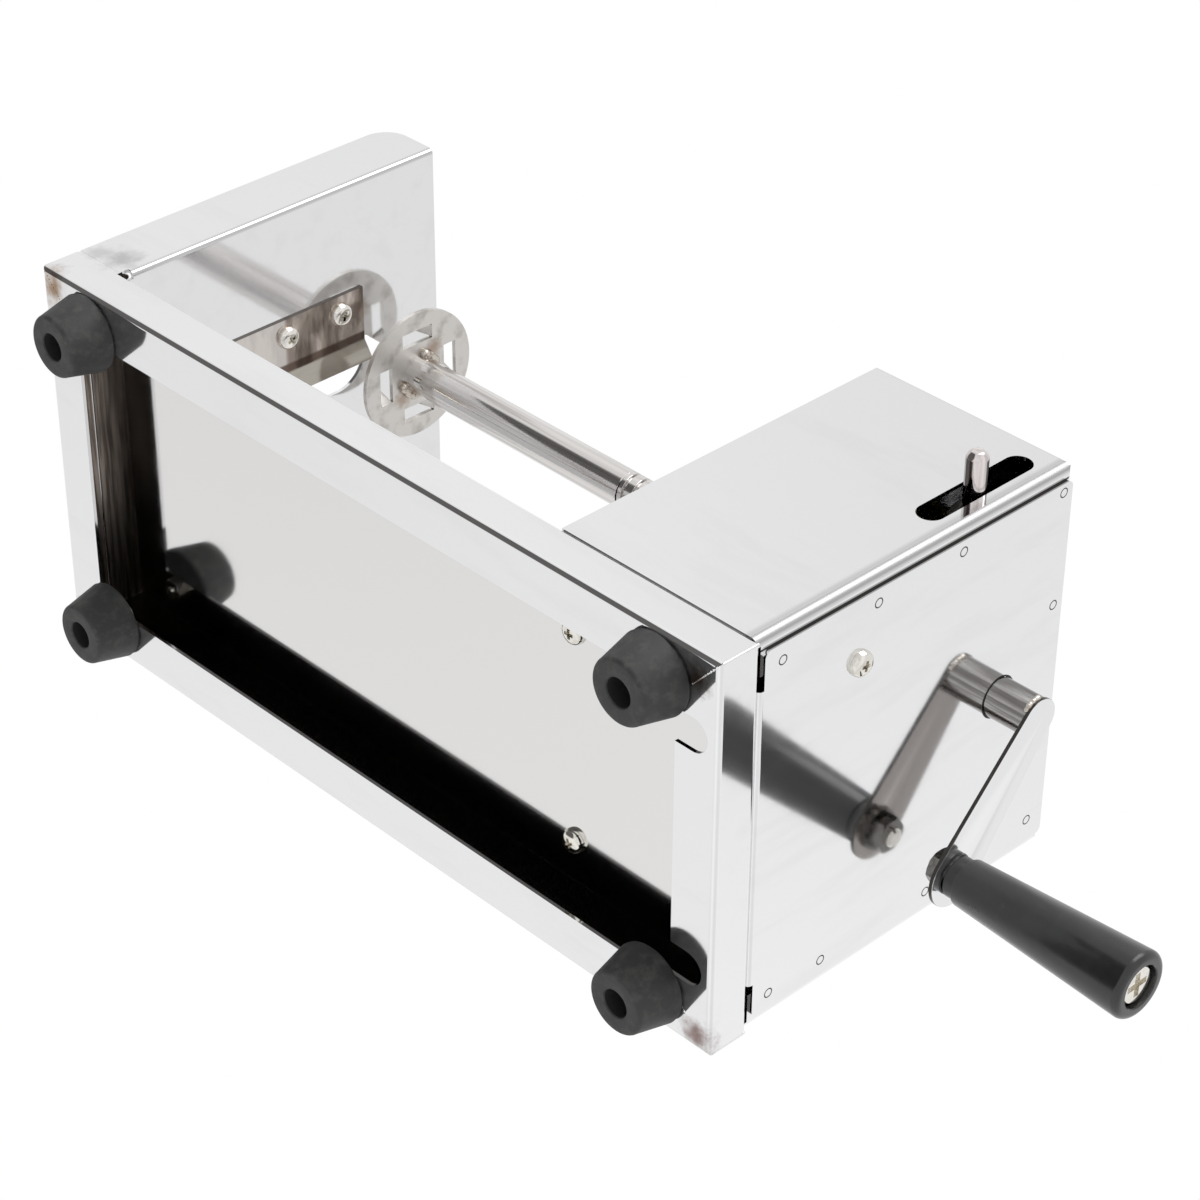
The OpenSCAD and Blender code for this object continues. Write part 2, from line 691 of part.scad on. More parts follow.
module release_lever() color("silver") translate([lever_x, 0, axis_z]) difference() {
    pivot = [pivot_y, pivot_up];
    middle = [0, lever_mid_up];
    end = [lever_end_y, -pin_drop];
    union() {
        translate([0, pivot_y, pivot_up]) rod_x(lever_boss_r, 0, lever_t);
        translate([0, 0, lever_mid_up]) rod_x(lever_mid_r, 0, lever_t);
        translate([0, lever_end_y, -pin_drop]) rod_x(lever_end_r, 0, lever_t);
        along_x(lever_t) polygon(bar_sides(pivot, lever_boss_r, middle, lever_mid_r));
        along_x(lever_t) polygon(bar_sides(middle, lever_mid_r, end, lever_end_r));
    }
    rod_x(lever_notch_r, -over, lever_t + over);
    translate([-over, -lever_notch_r, -2 * lever_notch_r])
        cube([lever_t + 2 * over, 2 * lever_notch_r, 2 * lever_notch_r]);
    translate([0, pivot_y, pivot_up]) rod_x(pivot_r + fit_gap, -over, lever_t + over);
    for (side = [-1, 1]) translate([0, side * small_screw_y, small_screw_up])
        rod_x(small_screw_d / 2 + hole_slack / 4, -over, lever_t + over);
    translate([0, spring_y, -hook_hole_down]) rod_x(hook_hole_d / 2, -over, lever_t + over);
}

// The four corners of a bar between two round ends, a little narrower than they are
function bar_sides(a, ra, b, rb) =
    let (d = b - a, u = d / norm(d), v = [-u[1], u[0]] * bar_w_share)
    [a + ra * v, b + rb * v, b - rb * v, a - ra * v];

module release_pin() color("silver") translate([pin_x, -half_w - pin_out, pin_z]) rotate([-90, 0, 0])
    rotate_extrude($fn = smooth) polygon(concat(
        [for (p = pin_nose_shares) [pin_r * p[0], pin_nose * p[1]]],
        [[pin_r, pin_out + pin_inside], [0, pin_out + pin_inside]]
    ));

module half_nut() color("goldenrod") translate([nut_face_x, 0, axis_z]) difference() {
    translate([0, -half_nut_w / 2, half_nut_foot])
        cube([half_nut_l, half_nut_w, half_nut_top - half_nut_foot]);
    rod_x(rod_r + seat_gap, -over, half_nut_l + over);
    for (i = [0 : floor(half_nut_l / thread_pitch) - 1]) {
        x = (i + 0.5) * thread_pitch;
        rod_x(rod_r + seat_gap + thread_depth, x - thread_pitch / 4, x + thread_pitch / 4);
    }
    for (side = [-1, 1]) translate([0, side * small_screw_y, small_screw_up])
        rod_x(small_screw_d / 2, -over, half_nut_l - over);
}

module half_nut_screws() color("silver") for (side = [-1, 1])
    translate([lever_x, side * small_screw_y, axis_z + small_screw_up]) rotate([0, 90, 0])
        pan_screw(lever_t + half_nut_l - over - end_chamfer, small_screw_d, small_head_d, small_head_h);

module lever_pivot() color("silver") translate([0, pivot_y, axis_z + pivot_up]) difference() {
    union() {
        rod_x(pivot_shoulder_r, nut_face_x + fit_gap, end_plate_x);
        rod_x(pivot_r, lever_x - pivot_nose, end_plate_x);
    }
    difference() {
        rod_x(pivot_r + over, lever_x - clip_t - 2 * fit_gap, lever_x - fit_gap);
        rod_x(clip_groove_r, lever_x - pivot_nose, lever_x + lever_t);
    }
}

module lever_clip() color("silver") translate([0, pivot_y, axis_z + pivot_up]) difference() {
    rod_x(clip_r, lever_x - clip_t - fit_gap, lever_x - fit_gap);
    rod_x(clip_groove_r, lever_x - clip_t - over, lever_x + over);
    translate([lever_x - clip_t - over, -clip_groove_r / 2, 0])
        cube([clip_t + 2 * over, clip_groove_r, clip_r + over]);
}

// The spring's way, one point and one outward direction for each ring of the wire
hook_low = post_z + hook_inner_r - screw_r - seat_gap;
hook_high = axis_z - hook_hole_down - coil_r;
coil_low = hook_low + hook_lead;
coil_high = hook_high - hook_lead;
coil_start = 90;
coil_turns = floor((coil_high - coil_low) / coil_pitch);
coil_sweep = 360 * coil_turns - coil_start;
coil_rings = round(coil_sweep / 360 * coil_steps);

function low_hook() = [for (i = [0 : hook_steps]) let (a = hook_sweep * (1 - i / hook_steps))
    [[0, coil_r * cos(a), hook_low - coil_r * sin(a)], [0, cos(a), -sin(a)]]];
function coils() = [for (i = [0 : coil_rings]) let (s = i / coil_rings, a = coil_start + coil_sweep * s)
    [[coil_r * cos(a), coil_r * sin(a), coil_low + (coil_high - coil_low) * s], [cos(a), sin(a), 0]]];
function high_hook() = [for (i = [0 : hook_steps]) let (a = hook_sweep * i / hook_steps)
    [[coil_r * cos(a), 0, hook_high + coil_r * sin(a)], [cos(a), 0, sin(a)]]];

spring_way = concat(low_hook(), coils(), high_hook());

function tangent(i) =
    let (last = len(spring_way) - 1, a = spring_way[max(i - 1, 0)][0], b = spring_way[min(i + 1, last)][0])
    (b - a) / norm(b - a);
function wire_ring(i) = let (p = spring_way[i][0], n = spring_way[i][1], b = cross(tangent(i), n))
    [for (k = [0 : wire_sides - 1]) let (a = 360 * k / wire_sides) p + wire_r * (cos(a) * n + sin(a) * b)];

// The least gap between turns that are more than half a turn apart along the wire
least_gap = min([
    for (i = [0 : len(spring_way) - 1], j = [i + coil_steps / 2 + 1 : 1 : len(spring_way) - 1])
        norm(spring_way[i][0] - spring_way[j][0])
]) - wire_d;
echo(least_spring_gap = least_gap);

module lever_spring() color("silver") translate([spring_x, spring_y, 0]) {
    rings = len(spring_way);
    points = [for (i = [0 : rings - 1]) each wire_ring(i)];
    last = (rings - 1) * wire_sides;
    sides = [for (i = [0 : rings - 2], k = [0 : wire_sides - 1]) let (
        a = i * wire_sides + k,
        b = i * wire_sides + (k + 1) % wire_sides,
        c = a + wire_sides,
        d = b + wire_sides
    ) each [[a, c, b], [b, c, d]]];
    caps = [for (k = [1 : wire_sides - 2]) each [[0, k, k + 1], [last, last + k + 1, last + k]]];
    polyhedron(points, concat(sides, caps));
}

module spring_post_screw() color("silver") translate([base_l, spring_y, post_z]) rotate([0, -90, 0])
    pan_screw(post_nose);

module spring_post_nut() color("silver") translate([end_plate_x, spring_y, post_z]) rotate([0, -90, 0])
    hex_nut();

placed() base_pan();
placed() front_upright();
placed() blade();
placed() blade_screws();
placed() blade_nuts();
placed() housing_cover();
placed() housing_front_wall();
placed() housing_end_plate();
placed() housing_screws();
placed() housing_nuts();
placed() front_bush();
placed() rear_bush();
placed() push_rod();
placed() drive_disc();
placed() crank_arm();
placed() handle_bolt();
placed() handle_washer();
placed() handle_nut();
placed() handle_grip();
placed() release_lever();
placed() release_pin();
placed() half_nut();
placed() half_nut_screws();
placed() lever_pivot();
placed() lever_clip();
placed() lever_spring();
placed() spring_post_screw();
placed() spring_post_nut();
placed() foot_front_left();
placed() foot_front_right();
placed() foot_rear_left();
placed() foot_rear_right();
placed() foot_screws();
placed() foot_washers();
placed() foot_nuts();
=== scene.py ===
"""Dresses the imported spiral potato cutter: its finishes, welds, thread and screws, and a plain studio."""

import logging
import math
from dataclasses import dataclass
from enum import Enum
from typing import Any, Callable, Sequence

import bpy
from mathutils import Matrix, Vector

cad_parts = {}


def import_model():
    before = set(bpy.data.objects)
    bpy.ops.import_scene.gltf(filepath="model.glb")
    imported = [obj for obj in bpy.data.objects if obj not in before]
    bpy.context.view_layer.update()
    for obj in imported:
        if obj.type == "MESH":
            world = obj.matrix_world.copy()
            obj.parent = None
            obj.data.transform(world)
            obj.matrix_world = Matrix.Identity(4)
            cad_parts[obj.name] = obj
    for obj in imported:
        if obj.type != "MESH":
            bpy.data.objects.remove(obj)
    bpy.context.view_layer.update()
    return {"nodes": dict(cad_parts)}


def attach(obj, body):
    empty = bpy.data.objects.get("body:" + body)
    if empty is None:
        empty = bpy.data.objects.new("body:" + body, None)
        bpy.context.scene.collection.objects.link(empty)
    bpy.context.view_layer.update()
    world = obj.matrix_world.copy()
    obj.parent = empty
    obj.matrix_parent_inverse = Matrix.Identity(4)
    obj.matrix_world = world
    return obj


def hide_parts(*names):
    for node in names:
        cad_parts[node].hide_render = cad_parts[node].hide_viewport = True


LOG = logging.getLogger("potato_cutter")

Point = tuple[float, float, float]
Span = tuple[float, float]
Outline = Sequence[Span]
Piece = bpy.types.Object
Tree = bpy.types.NodeTree

MM = 0.001
# The part's origin among the machine's own places, and the rod's axis over the underside of the base, in mm
ORIGIN: Point = (183.3, -5.9, -14.0)
AXIS_HEIGHT = 112.5

# Mesh points nearer than this are one, in metres
MERGE = 2e-6

# The feet and where their screws sit, along and across the machine
FOOT_PLACES: tuple[tuple[str, float, float], ...] = (
    ("foot_front_left", 22.4, -51.7), ("foot_front_right", 22.4, 51.7),
    ("foot_rear_left", 263.4, -51.7), ("foot_rear_right", 263.4, 51.7),
)

# Stretches of a noise over which stains, the boxes' painted streaks and bloom rise and over which the
# roughness varies
STAIN_SPAN: Span = (0.46, 0.72)
PAINTED_STREAK_SPAN: Span = (0.4, 0.62)
BLOOM_SPAN: Span = (0.42, 0.72)
ROUGH_SPAN: Span = (0.3, 0.7)


class Body(Enum):
    """The moving bodies that new pieces ride on."""

    FRAME = "frame"
    ROD = "rod"
    GRIP = "grip"
    LEVER = "lever"


class Slot(Enum):
    """The record's material slots, one named with each new piece; nothing reads them."""

    SHEET = "polished_steel"
    TURNED = "turned_steel"
    SCREW = "plated_screws"
    GRIP = "black_grip"
    RUBBER = "foot_rubber"


def linear(hex_colour: str) -> tuple[float, float, float, float]:
    """Turns an sRGB hex colour to linear light.

    Args:
        hex_colour: Six hex digits, such as "e4e4e5".

    Returns:
        Red, green, blue and an alpha of one.
    """
    channels = [int(hex_colour[i:i + 2], 16) / 255 for i in (0, 2, 4)]
    bent = [c / 12.92 if c <= 0.04045 else ((c + 0.055) / 1.055) ** 2.4 for c in channels]
    return (bent[0], bent[1], bent[2], 1.0)


def metres(point: Sequence[float]) -> Vector:
    """Turns a point in millimetres to metres."""
    return Vector(point) * MM


def spot(x: float, y: float, z: float) -> Point:
    """Turns a place on the machine to the part's frame.

    Args:
        x: Distance from the front end of the base, in millimetres.
        y: Distance from the rod's axis, in millimetres.
        z: Height above the underside of the base, in millimetres.

    Returns:
        The same place in the part's frame, in millimetres.
    """
    return (x - ORIGIN[0], y - ORIGIN[1], z - ORIGIN[2])


def add_node(tree: Tree, kind: str, settings: dict[str, Any], inputs: dict[Any, Any]) -> Any:
    """Adds one node with its settings and links.

    Args:
        tree: The tree that the node goes into.
        kind: The node's type, such as "ShaderNodeMath".
        settings: Properties of the node.
        inputs: Socket names or numbers, each with a value or with the socket that feeds it.

    Returns:
        The new node.
    """
    node = tree.nodes.new(kind)
    for name, value in settings.items():
        setattr(node, name, value)
    for socket, value in inputs.items():
        if isinstance(value, bpy.types.NodeSocket):
            tree.links.new(value, node.inputs[socket])
        else:
            node.inputs[socket].default_value = value
    return node


def new_tree(owner: bpy.types.Material | bpy.types.World) -> Tree:
    """Gives a material or a world an empty node tree.

    Args:
        owner: The material or world.

    Returns:
        Its tree.
    """
    owner.use_nodes = True
    owner.node_tree.nodes.clear()
    return owner.node_tree


def noise(tree: Tree, place: Any, scale: float, detail: float, roughness: float) -> Any:
    """Returns the value socket of a noise."""
    return add_node(tree, "ShaderNodeTexNoise", {}, {
        "Vector": place, "Scale": scale, "Detail": detail, "Roughness": roughness,
    }).outputs["Fac"]


def streaks(tree: Tree, place: Any, grain: Point, roughness: float) -> Any:
    """Returns the value socket of a noise whose streaks have a grain's lengths, in millimetres."""
    along = add_node(tree, "ShaderNodeMapping", {}, {
        "Vector": place, "Scale": tuple(1 / (length * MM) for length in grain),
    }).outputs[0]
    return noise(tree, along, 1.0, 3.0, roughness)


def ranged(tree: Tree, value: Any, source: Span, target: Span = (0.0, 1.0),
           kind: str = "SMOOTHSTEP") -> Any:
    """Returns the socket of a value that is mapped from one span to another."""
    return add_node(tree, "ShaderNodeMapRange", {"interpolation_type": kind}, {
        "Value": value, "From Min": source[0], "From Max": source[1],
        "To Min": target[0], "To Max": target[1],
    }).outputs[0]


def maths(tree: Tree, operation: str, *values: Any) -> Any:
    """Returns the result of a sum."""
    return add_node(tree, "ShaderNodeMath", {"operation": operation}, dict(enumerate(values))).outputs[0]


def vectors(tree: Tree, operation: str, *values: Any, output: str = "Vector") -> Any:
    """Returns one result of a vector sum."""
    return add_node(
        tree, "ShaderNodeVectorMath", {"operation": operation}, dict(enumerate(values)),
    ).outputs[output]


def mix(tree: Tree, share: Any, low: Any, high: Any) -> Any:
    """Mixes two colours by a share and returns the colour socket."""
    return add_node(tree, "ShaderNodeMix", {"data_type": "RGBA"}, {0: share, 6: low, 7: high}).outputs[2]


def bumped(tree: Tree, height: Any, relief: float, **under: Any) -> Any:
    """Returns the normal of a relief in millimetres, laid over another normal where one is given."""
    return add_node(tree, "ShaderNodeBump", {}, {
        "Strength": 1.0, "Distance": relief * MM, "Height": height, **under,
    }).outputs[0]


def principled(tree: Tree, inputs: dict[str, Any]) -> None:
    """Ends a material's tree with its shader and its output."""
    shader = add_node(tree, "ShaderNodeBsdfPrincipled", {}, inputs).outputs[0]
    add_node(tree, "ShaderNodeOutputMaterial", {}, {"Surface": shader})


@dataclass(frozen=True)
class TintSpot:
    """A round patch where heat or grinding has changed the metal.

    Attributes:
        place: Centre, in millimetres.
        reach: Radius at which it has faded out, in millimetres.
        colour: Its sRGB colour.
        strength: Share of the metal's own colour that it covers.
    """

    place: Point
    reach: float
    colour: str
    strength: float


@dataclass(frozen=True)
class ShadeBox:
    """A box in which the metal takes another colour: mostly painted shade and painted reflection, such as
    along a fold, in the pan or on an edge, and on the crank arm the colours of its two faces.

    Attributes:
        centre: Middle of the box, in millimetres.
        half: Half its sizes, in millimetres.
        colour: The sRGB colour painted inside it.
        soft: Width of its edge, in millimetres.
        strength: Share of the metal's own colour that it covers.
        roughness: Roughness inside it, or zero to keep the metal's own.
        painted_streaks: sRGB colour of streaks inside it, or none.
        painted_streak_grain: Length of such a streak along X, Y and Z, in millimetres.
    """

    centre: Point
    half: Point
    colour: str
    soft: float = 0.3
    strength: float = 1.0
    roughness: float = 0.0
    painted_streaks: str = ""
    painted_streak_grain: Point = (40.0, 40.0, 1.6)


@dataclass(frozen=True)
class Metal:
    """A bare metal: its colour, its grain, what heat has done to it and the shade and reflection painted on
    it.

    Attributes:
        name: The material's common name and how its surface was made.
        colour: sRGB colour of the clean metal.
        stain: sRGB colour of the darker streaks.
        grain: Length of a streak along X, Y and Z, in millimetres.
        stain_share: How much of the stain shows.
        roughness: Mean roughness.
        spread: How far the roughness varies each way.
        relief: Height of the grain, in millimetres.
        wave: Height of the slow waves in the sheet, in millimetres.
        wave_length: Distance from wave to wave, in millimetres.
        spots: Round tinted patches.
        boxes: Boxes of painted shade, painted reflection and other colours.
    """

    name: str
    colour: str
    stain: str
    grain: Point
    stain_share: float = 0.2
    roughness: float = 0.12
    spread: float = 0.03
    relief: float = 0.002
    wave: float = 0.0
    wave_length: float = 60.0
    spots: tuple[TintSpot, ...] = ()
    boxes: tuple[ShadeBox, ...] = ()

    def make(self) -> bpy.types.Material:
        """Builds the material's nodes and returns it."""
        material = bpy.data.materials.new(self.name)
        tree = new_tree(material)
        place = add_node(tree, "ShaderNodeTexCoord", {}, {}).outputs["Object"]
        streak = streaks(tree, place, self.grain, 0.55)
        stained = ranged(tree, streak, STAIN_SPAN, (0.0, self.stain_share))
        tone = mix(tree, stained, linear(self.colour), linear(self.stain))
        for tint in self.spots:
            tone = mix(tree, self.spot_mask(tree, place, tint), tone, linear(tint.colour))
        rough = ranged(
            tree, streak, ROUGH_SPAN,
            (self.roughness - self.spread, self.roughness + self.spread), "LINEAR",
        )
        for box in self.boxes:
            inside = self.box_mask(tree, place, box)
            tone = mix(tree, inside, tone, self.box_tone(tree, place, box))
            if box.roughness:
                rough = add_node(tree, "ShaderNodeMix", {"data_type": "FLOAT"}, {
                    0: inside, 2: rough, 3: box.roughness,
                }).outputs[0]
        bump = bumped(tree, streak, self.relief)
        if self.wave:
            slow = noise(tree, place, 1 / (self.wave_length * MM), 1.0, 0.3)
            bump = bumped(tree, slow, self.wave, Normal=bump)
        principled(tree, {"Base Color": tone, "Metallic": 1.0, "Roughness": rough, "Normal": bump})
        return material

    @staticmethod
    def box_tone(tree: Tree, place: Any, box: ShadeBox) -> Any:
        """Returns a painted box's colour, or the socket that lays its painted streaks over it.

        Args:
            tree: The material's tree.
            place: The socket that gives the place.
            box: The painted box.

        Returns:
            The colour or the socket.
        """
        if not box.painted_streaks:
            return linear(box.colour)
        share = ranged(tree, streaks(tree, place, box.painted_streak_grain, 0.6), PAINTED_STREAK_SPAN)
        return mix(tree, share, linear(box.colour), linear(box.painted_streaks))

    @staticmethod
    def spot_mask(tree: Tree, place: Any, tint: TintSpot) -> Any:
        """Returns the socket that is high inside a tinted patch with a ragged edge.

        Args:
            tree: The material's tree.
            place: The socket that gives the place.
            tint: The patch.

        Returns:
            The mask's socket.
        """
        reach = tint.reach * MM
        rag = noise(tree, place, 2.2 / reach, 3.0, 0.6)
        away = vectors(tree, "DISTANCE", place, metres(tint.place), output="Value")
        ragged = maths(tree, "MULTIPLY_ADD", rag, 1.1 * reach, away)
        return ranged(tree, ragged, (1.55 * reach, 0.55 * reach), (0.0, tint.strength))

    @staticmethod
    def box_mask(tree: Tree, place: Any, box: ShadeBox) -> Any:
        """Returns the socket that is high inside a painted box.

        Args:
            tree: The material's tree.
            place: The socket that gives the place.
            box: The painted box.

        Returns:
            The mask's socket.
        """
        size = vectors(tree, "ABSOLUTE", vectors(tree, "SUBTRACT", place, metres(box.centre)))
        out = vectors(tree, "SUBTRACT", size, metres(box.half))
        along, across, up = add_node(tree, "ShaderNodeSeparateXYZ", {}, {0: out}).outputs
        far = maths(tree, "MAXIMUM", maths(tree, "MAXIMUM", along, across), up)
        return ranged(tree, far, (box.soft * MM / 2, -box.soft * MM / 2), (0.0, box.strength))


@dataclass(frozen=True)
class Moulding:
    """A moulded plastic or rubber.

    Attributes:
        name: The material's common name and how its surface was made.
        colour: sRGB colour.
        bloom: sRGB colour of the paler, dusty patches.
        bloom_share: How much of the bloom shows.
        patch: Size of a patch, in millimetres.
        roughness: Mean roughness.
        spread: How far the roughness varies each way.
        grit: Size of the surface's fine grit, in millimetres.
        relief: Height of the grit, in millimetres.
        coat: Weight of a clear, glossy skin.
    """

    name: str
    colour: str
    bloom: str
    bloom_share: float
    patch: float
    roughness: float
    spread: float
    grit: float
    relief: float
    coat: float = 0.0

    def make(self) -> bpy.types.Material:
        """Builds the material's nodes and returns it."""
        material = bpy.data.materials.new(self.name)
        tree = new_tree(material)
        place = add_node(tree, "ShaderNodeTexCoord", {}, {}).outputs["Object"]
        cloud = noise(tree, place, 1 / (self.patch * MM), 5.0, 0.65)
        grit = noise(tree, place, 1 / (self.grit * MM), 2.0, 0.5)
        share = ranged(tree, cloud, BLOOM_SPAN, (0.0, self.bloom_share))
        rough = ranged(
            tree, cloud, ROUGH_SPAN,
            (self.roughness - self.spread, self.roughness + self.spread), "LINEAR",
        )
        principled(tree, {
            "Base Color": mix(tree, share, linear(self.colour), linear(self.bloom)), "Metallic": 0.0,
            "Roughness": rough, "Normal": bumped(tree, grit, self.relief),
            "IOR": 1.5, "Coat Weight": self.coat, "Coat Roughness": 0.12,
        })
        return material


# Stainless sheet, cold rolled and mirror polished: near white, with the faint drag of the polishing wheel,
# duller with painted shade inside the pan and painted reflection on its front wall, painted shade on the
# folds and a painted shadow line in the gap at the end plate, and tinted brown and yellow by the welding
# torch at the corners
SHEET = Metal(
    name="stainless_sheet_mirror_polished", colour="ececed", stain="d2d0cd", grain=(40, 9, 9),
    stain_share=0.12, roughness=0.075, spread=0.015, relief=0.0004, wave=0.05, wave_length=70,
    boxes=(
        # painted shade: the walls and lips inside the pan, dark and a little rougher
        ShadeBox(spot(142.9, 0, 7.0), (141.75, 63.9, 5.9), "4a4643", soft=0.1, roughness=0.2),
        # painted reflection and shade: the inner face of the front wall, brown with paler painted streaks
        # and rougher
        ShadeBox(spot(1.25, 0, 7.0), (0.15, 63.9, 5.9), "6b625c", soft=0.1, roughness=0.4, painted_streaks="b0a49a"),
        # the deck inside the pan: a pale grey, a little darker than the rest of the sheet
        ShadeBox(spot(142.9, 0, 13.25), (141.75, 63.9, 0.35), "e4e3e2", soft=0.1),
        # painted shade on the cover's rear fold: a grey gradient into the bend, a rougher grey over the
        # bend that tones down the lamp's highlight, and a painted shadow line in the gap at the end plate
        ShadeBox(spot(281.4, -64.9, 76), (0.8, 0.6, 61.8), "c8c8c8", soft=2.4, strength=0.9),
        ShadeBox(spot(283.3, -63.9, 76), (1.2, 1.2, 61.8), "a4a4a4", soft=0.4,
                 strength=0.9, roughness=0.42),
        ShadeBox(spot(284.6, -61.1, 76), (0.3, 0.35, 61.8), "454443", soft=0.1),
        # painted shade on the cover's top folds, along its side and at its rear
        ShadeBox(spot(248, -64.6, 138.5), (37, 0.9, 0.9), "b4b4b4", soft=1.0, strength=0.9),
        ShadeBox(spot(283.4, 0, 138.4), (1.6, 65, 0.9), "a2a2a2", soft=1.2, strength=0.8),
        # painted shade on the upright's fold
        ShadeBox(spot(21.2, -64.4, 76), (1.0, 1.0, 61), "bebebe", soft=1.2, strength=0.85),
    ),
    spots=(
        TintSpot(spot(4.3, -59.6, 0), 9.0, "8d6a3f", 0.9),
        TintSpot(spot(277.5, -57.0, 0), 6.5, "6e5a4b", 0.9),
        TintSpot(spot(280.8, 60.3, 0), 8.0, "6f4f46", 0.85),
        TintSpot(spot(4.3, 60.3, 0), 8.0, "8d6a3f", 0.7),
        TintSpot(spot(13.0, -65, 20.0), 9.0, "9d9c9e", 0.6),
        TintSpot(spot(5.0, -65, 17.0), 6.0, "b2b1b1", 0.5),
        TintSpot(spot(12.0, 65, 16.5), 9.0, "8b8681", 0.45),
    ),
)
# The same sheet as the end plate, whose four sheared edges are painted grey for their dull cut and for the
# shade on them: lightest on the −Y edge, darker on the +Y edge and darkest at the top and bottom
END_PLATE = Metal(
    name="stainless_sheet_sheared", colour="ececed", stain="d2d0cd", grain=(9, 9, 40),
    stain_share=0.14, roughness=0.085, spread=0.02, relief=0.0006, wave=0.05, wave_length=70,
    boxes=(
        # painted shade on the sheared edges, partly their own dull grey
        ShadeBox(spot(285.1, -60.8, 77), (0.6, 0.12, 64), "b2b1b0", soft=0.1),
        ShadeBox(spot(285.1, 60.8, 77), (0.6, 0.12, 64), "8b8987", soft=0.1),
        ShadeBox(spot(285.1, 0, 137.7), (0.6, 61, 0.12), "5c5a58", soft=0.1),
        ShadeBox(spot(285.1, 0, 16.4), (0.6, 61, 0.12), "5c5a58", soft=0.1),
    ),
)
# Stainless knife steel, ground and polished: its brown is a painted reflection of what it mirrors, with a
# streaked patch of painted reflection, a paler painted highlight below it, painted shade darkest along its
# fold and a painted dark line at one edge
BLADE = Metal(
    name="knife_steel_ground", colour="aaa59c", stain="8f857c", grain=(6, 6, 30),
    stain_share=0.35, roughness=0.11, spread=0.03, relief=0.001, wave=0.03, wave_length=18,
    boxes=(
        # painted reflection and shade on the blade: a streaked patch, a paler highlight, shade along the
        # fold and a dark line at the edge
        ShadeBox(spot(22.3, -18.0, 80), (0.5, 9.5, 30), "8f847c", soft=0.4,
                 painted_streaks="c2b8b0", painted_streak_grain=(9.0, 22.0, 5.0)),
        ShadeBox(spot(22.3, -18.0, 60), (0.5, 9.5, 13), "ddd8d4", soft=3.0),
        ShadeBox(spot(22.3, -9.8, 84), (0.6, 1.5, 28), "5d4e46", soft=1.2),
        ShadeBox(spot(22.3, -27.5, 84), (0.6, 0.12, 32), "3a3532", soft=0.1),
    ),
)
# Bright drawn stainless bar: pale, with darker streaks along the drawing direction, painted shade with dark
# painted streaks on the stub at the crank and a brown heat tint where the disc and the arm are welded on
TURNED = Metal(
    name="drawn_stainless_bar", colour="dad7d5", stain="7d7673", grain=(70, 1.3, 1.3),
    stain_share=0.5, roughness=0.14, spread=0.04, relief=0.001,
    boxes=(
        # painted shade and reflection: the stub at the crank, greyer with dark painted streaks
        ShadeBox(spot(293, 0, 112.5), (7.2, 7, 7), "b4b2b0", soft=1.0,
                 painted_streaks="7b7876", painted_streak_grain=(60.0, 2.2, 2.2)),
    ),
    spots=(
        TintSpot(spot(44.0, -4.0, 117.0), 6.0, "86664a", 0.6),
        TintSpot(spot(44.0, 4.0, 108.0), 6.0, "86664a", 0.6),
        TintSpot(spot(298.5, -5.5, 110.5), 4.0, "a8703c", 0.8),
    ),
)
# Punched stainless plate, tumbled: pale grey with soft clouds, brown beside its two welds
PLATE = Metal(
    name="punched_stainless_plate", colour="d0cdc9", stain="98918a", grain=(6, 6, 6),
    stain_share=0.55, roughness=0.36, spread=0.07, relief=0.006,
    spots=(
        TintSpot(spot(40.4, -7.0, 119.5), 5.0, "8a6a4c", 0.6),
        TintSpot(spot(40.4, 7.0, 105.5), 5.0, "8a6a4c", 0.6),
    ),
)
# Flat stainless bar of the crank: polished outside, its sheared edges painted dark for the dark reflection
# they take, and brown grey inside
ARM = Metal(
    # the bar's own colour here is the painted dark of its sheared edges; the two boxes give its outer and
    # inner faces
    name="stainless_flat_bar", colour="403e3c", stain="5a5753", grain=(0.5, 7, 7),
    stain_share=0.5, roughness=0.2, spread=0.05, relief=0.002,
    boxes=(
        ShadeBox(spot(301.1, 18, 97), (0.06, 60, 60), "e8e8e9", soft=0.1, roughness=0.1),
        ShadeBox(spot(299.8, 18, 97), (0.06, 60, 60), "a29c98", soft=0.1),
    ),
)
# Weld metal of the electrode: a bright lumpy bead with a brown and straw tint
WELD = Metal(
    name="stainless_weld_metal", colour="c4beb6", stain="8a6a48", grain=(2.2, 2.2, 2.2),
    stain_share=0.7, roughness=0.26, spread=0.08, relief=0.01,
)
# Press mark of the spot welder: a thin dark ring round a bright dimple
SPOT_MARK = Metal(
    name="stainless_spot_weld_mark", colour="55524f", stain="3c3936", grain=(1, 1, 1),
    stain_share=0.5, roughness=0.3, spread=0.08, relief=0.002,
)
# Nickel plated steel screws and nuts: bright, with a warm tinge
PLATED = Metal(
    name="nickel_plated_steel", colour="e6e3dc", stain="b8b2a6", grain=(2, 2, 2),
    stain_share=0.3, roughness=0.09, spread=0.03, relief=0.001,
)
# The cross recess of a screw: painted near black for the shade inside it
RECESS = Metal(
    name="screw_recess_painted_shade", colour="1f1d1b", stain="100f0e", grain=(1, 1, 1),
    stain_share=0.6, roughness=0.4, spread=0.08, relief=0.004,
)
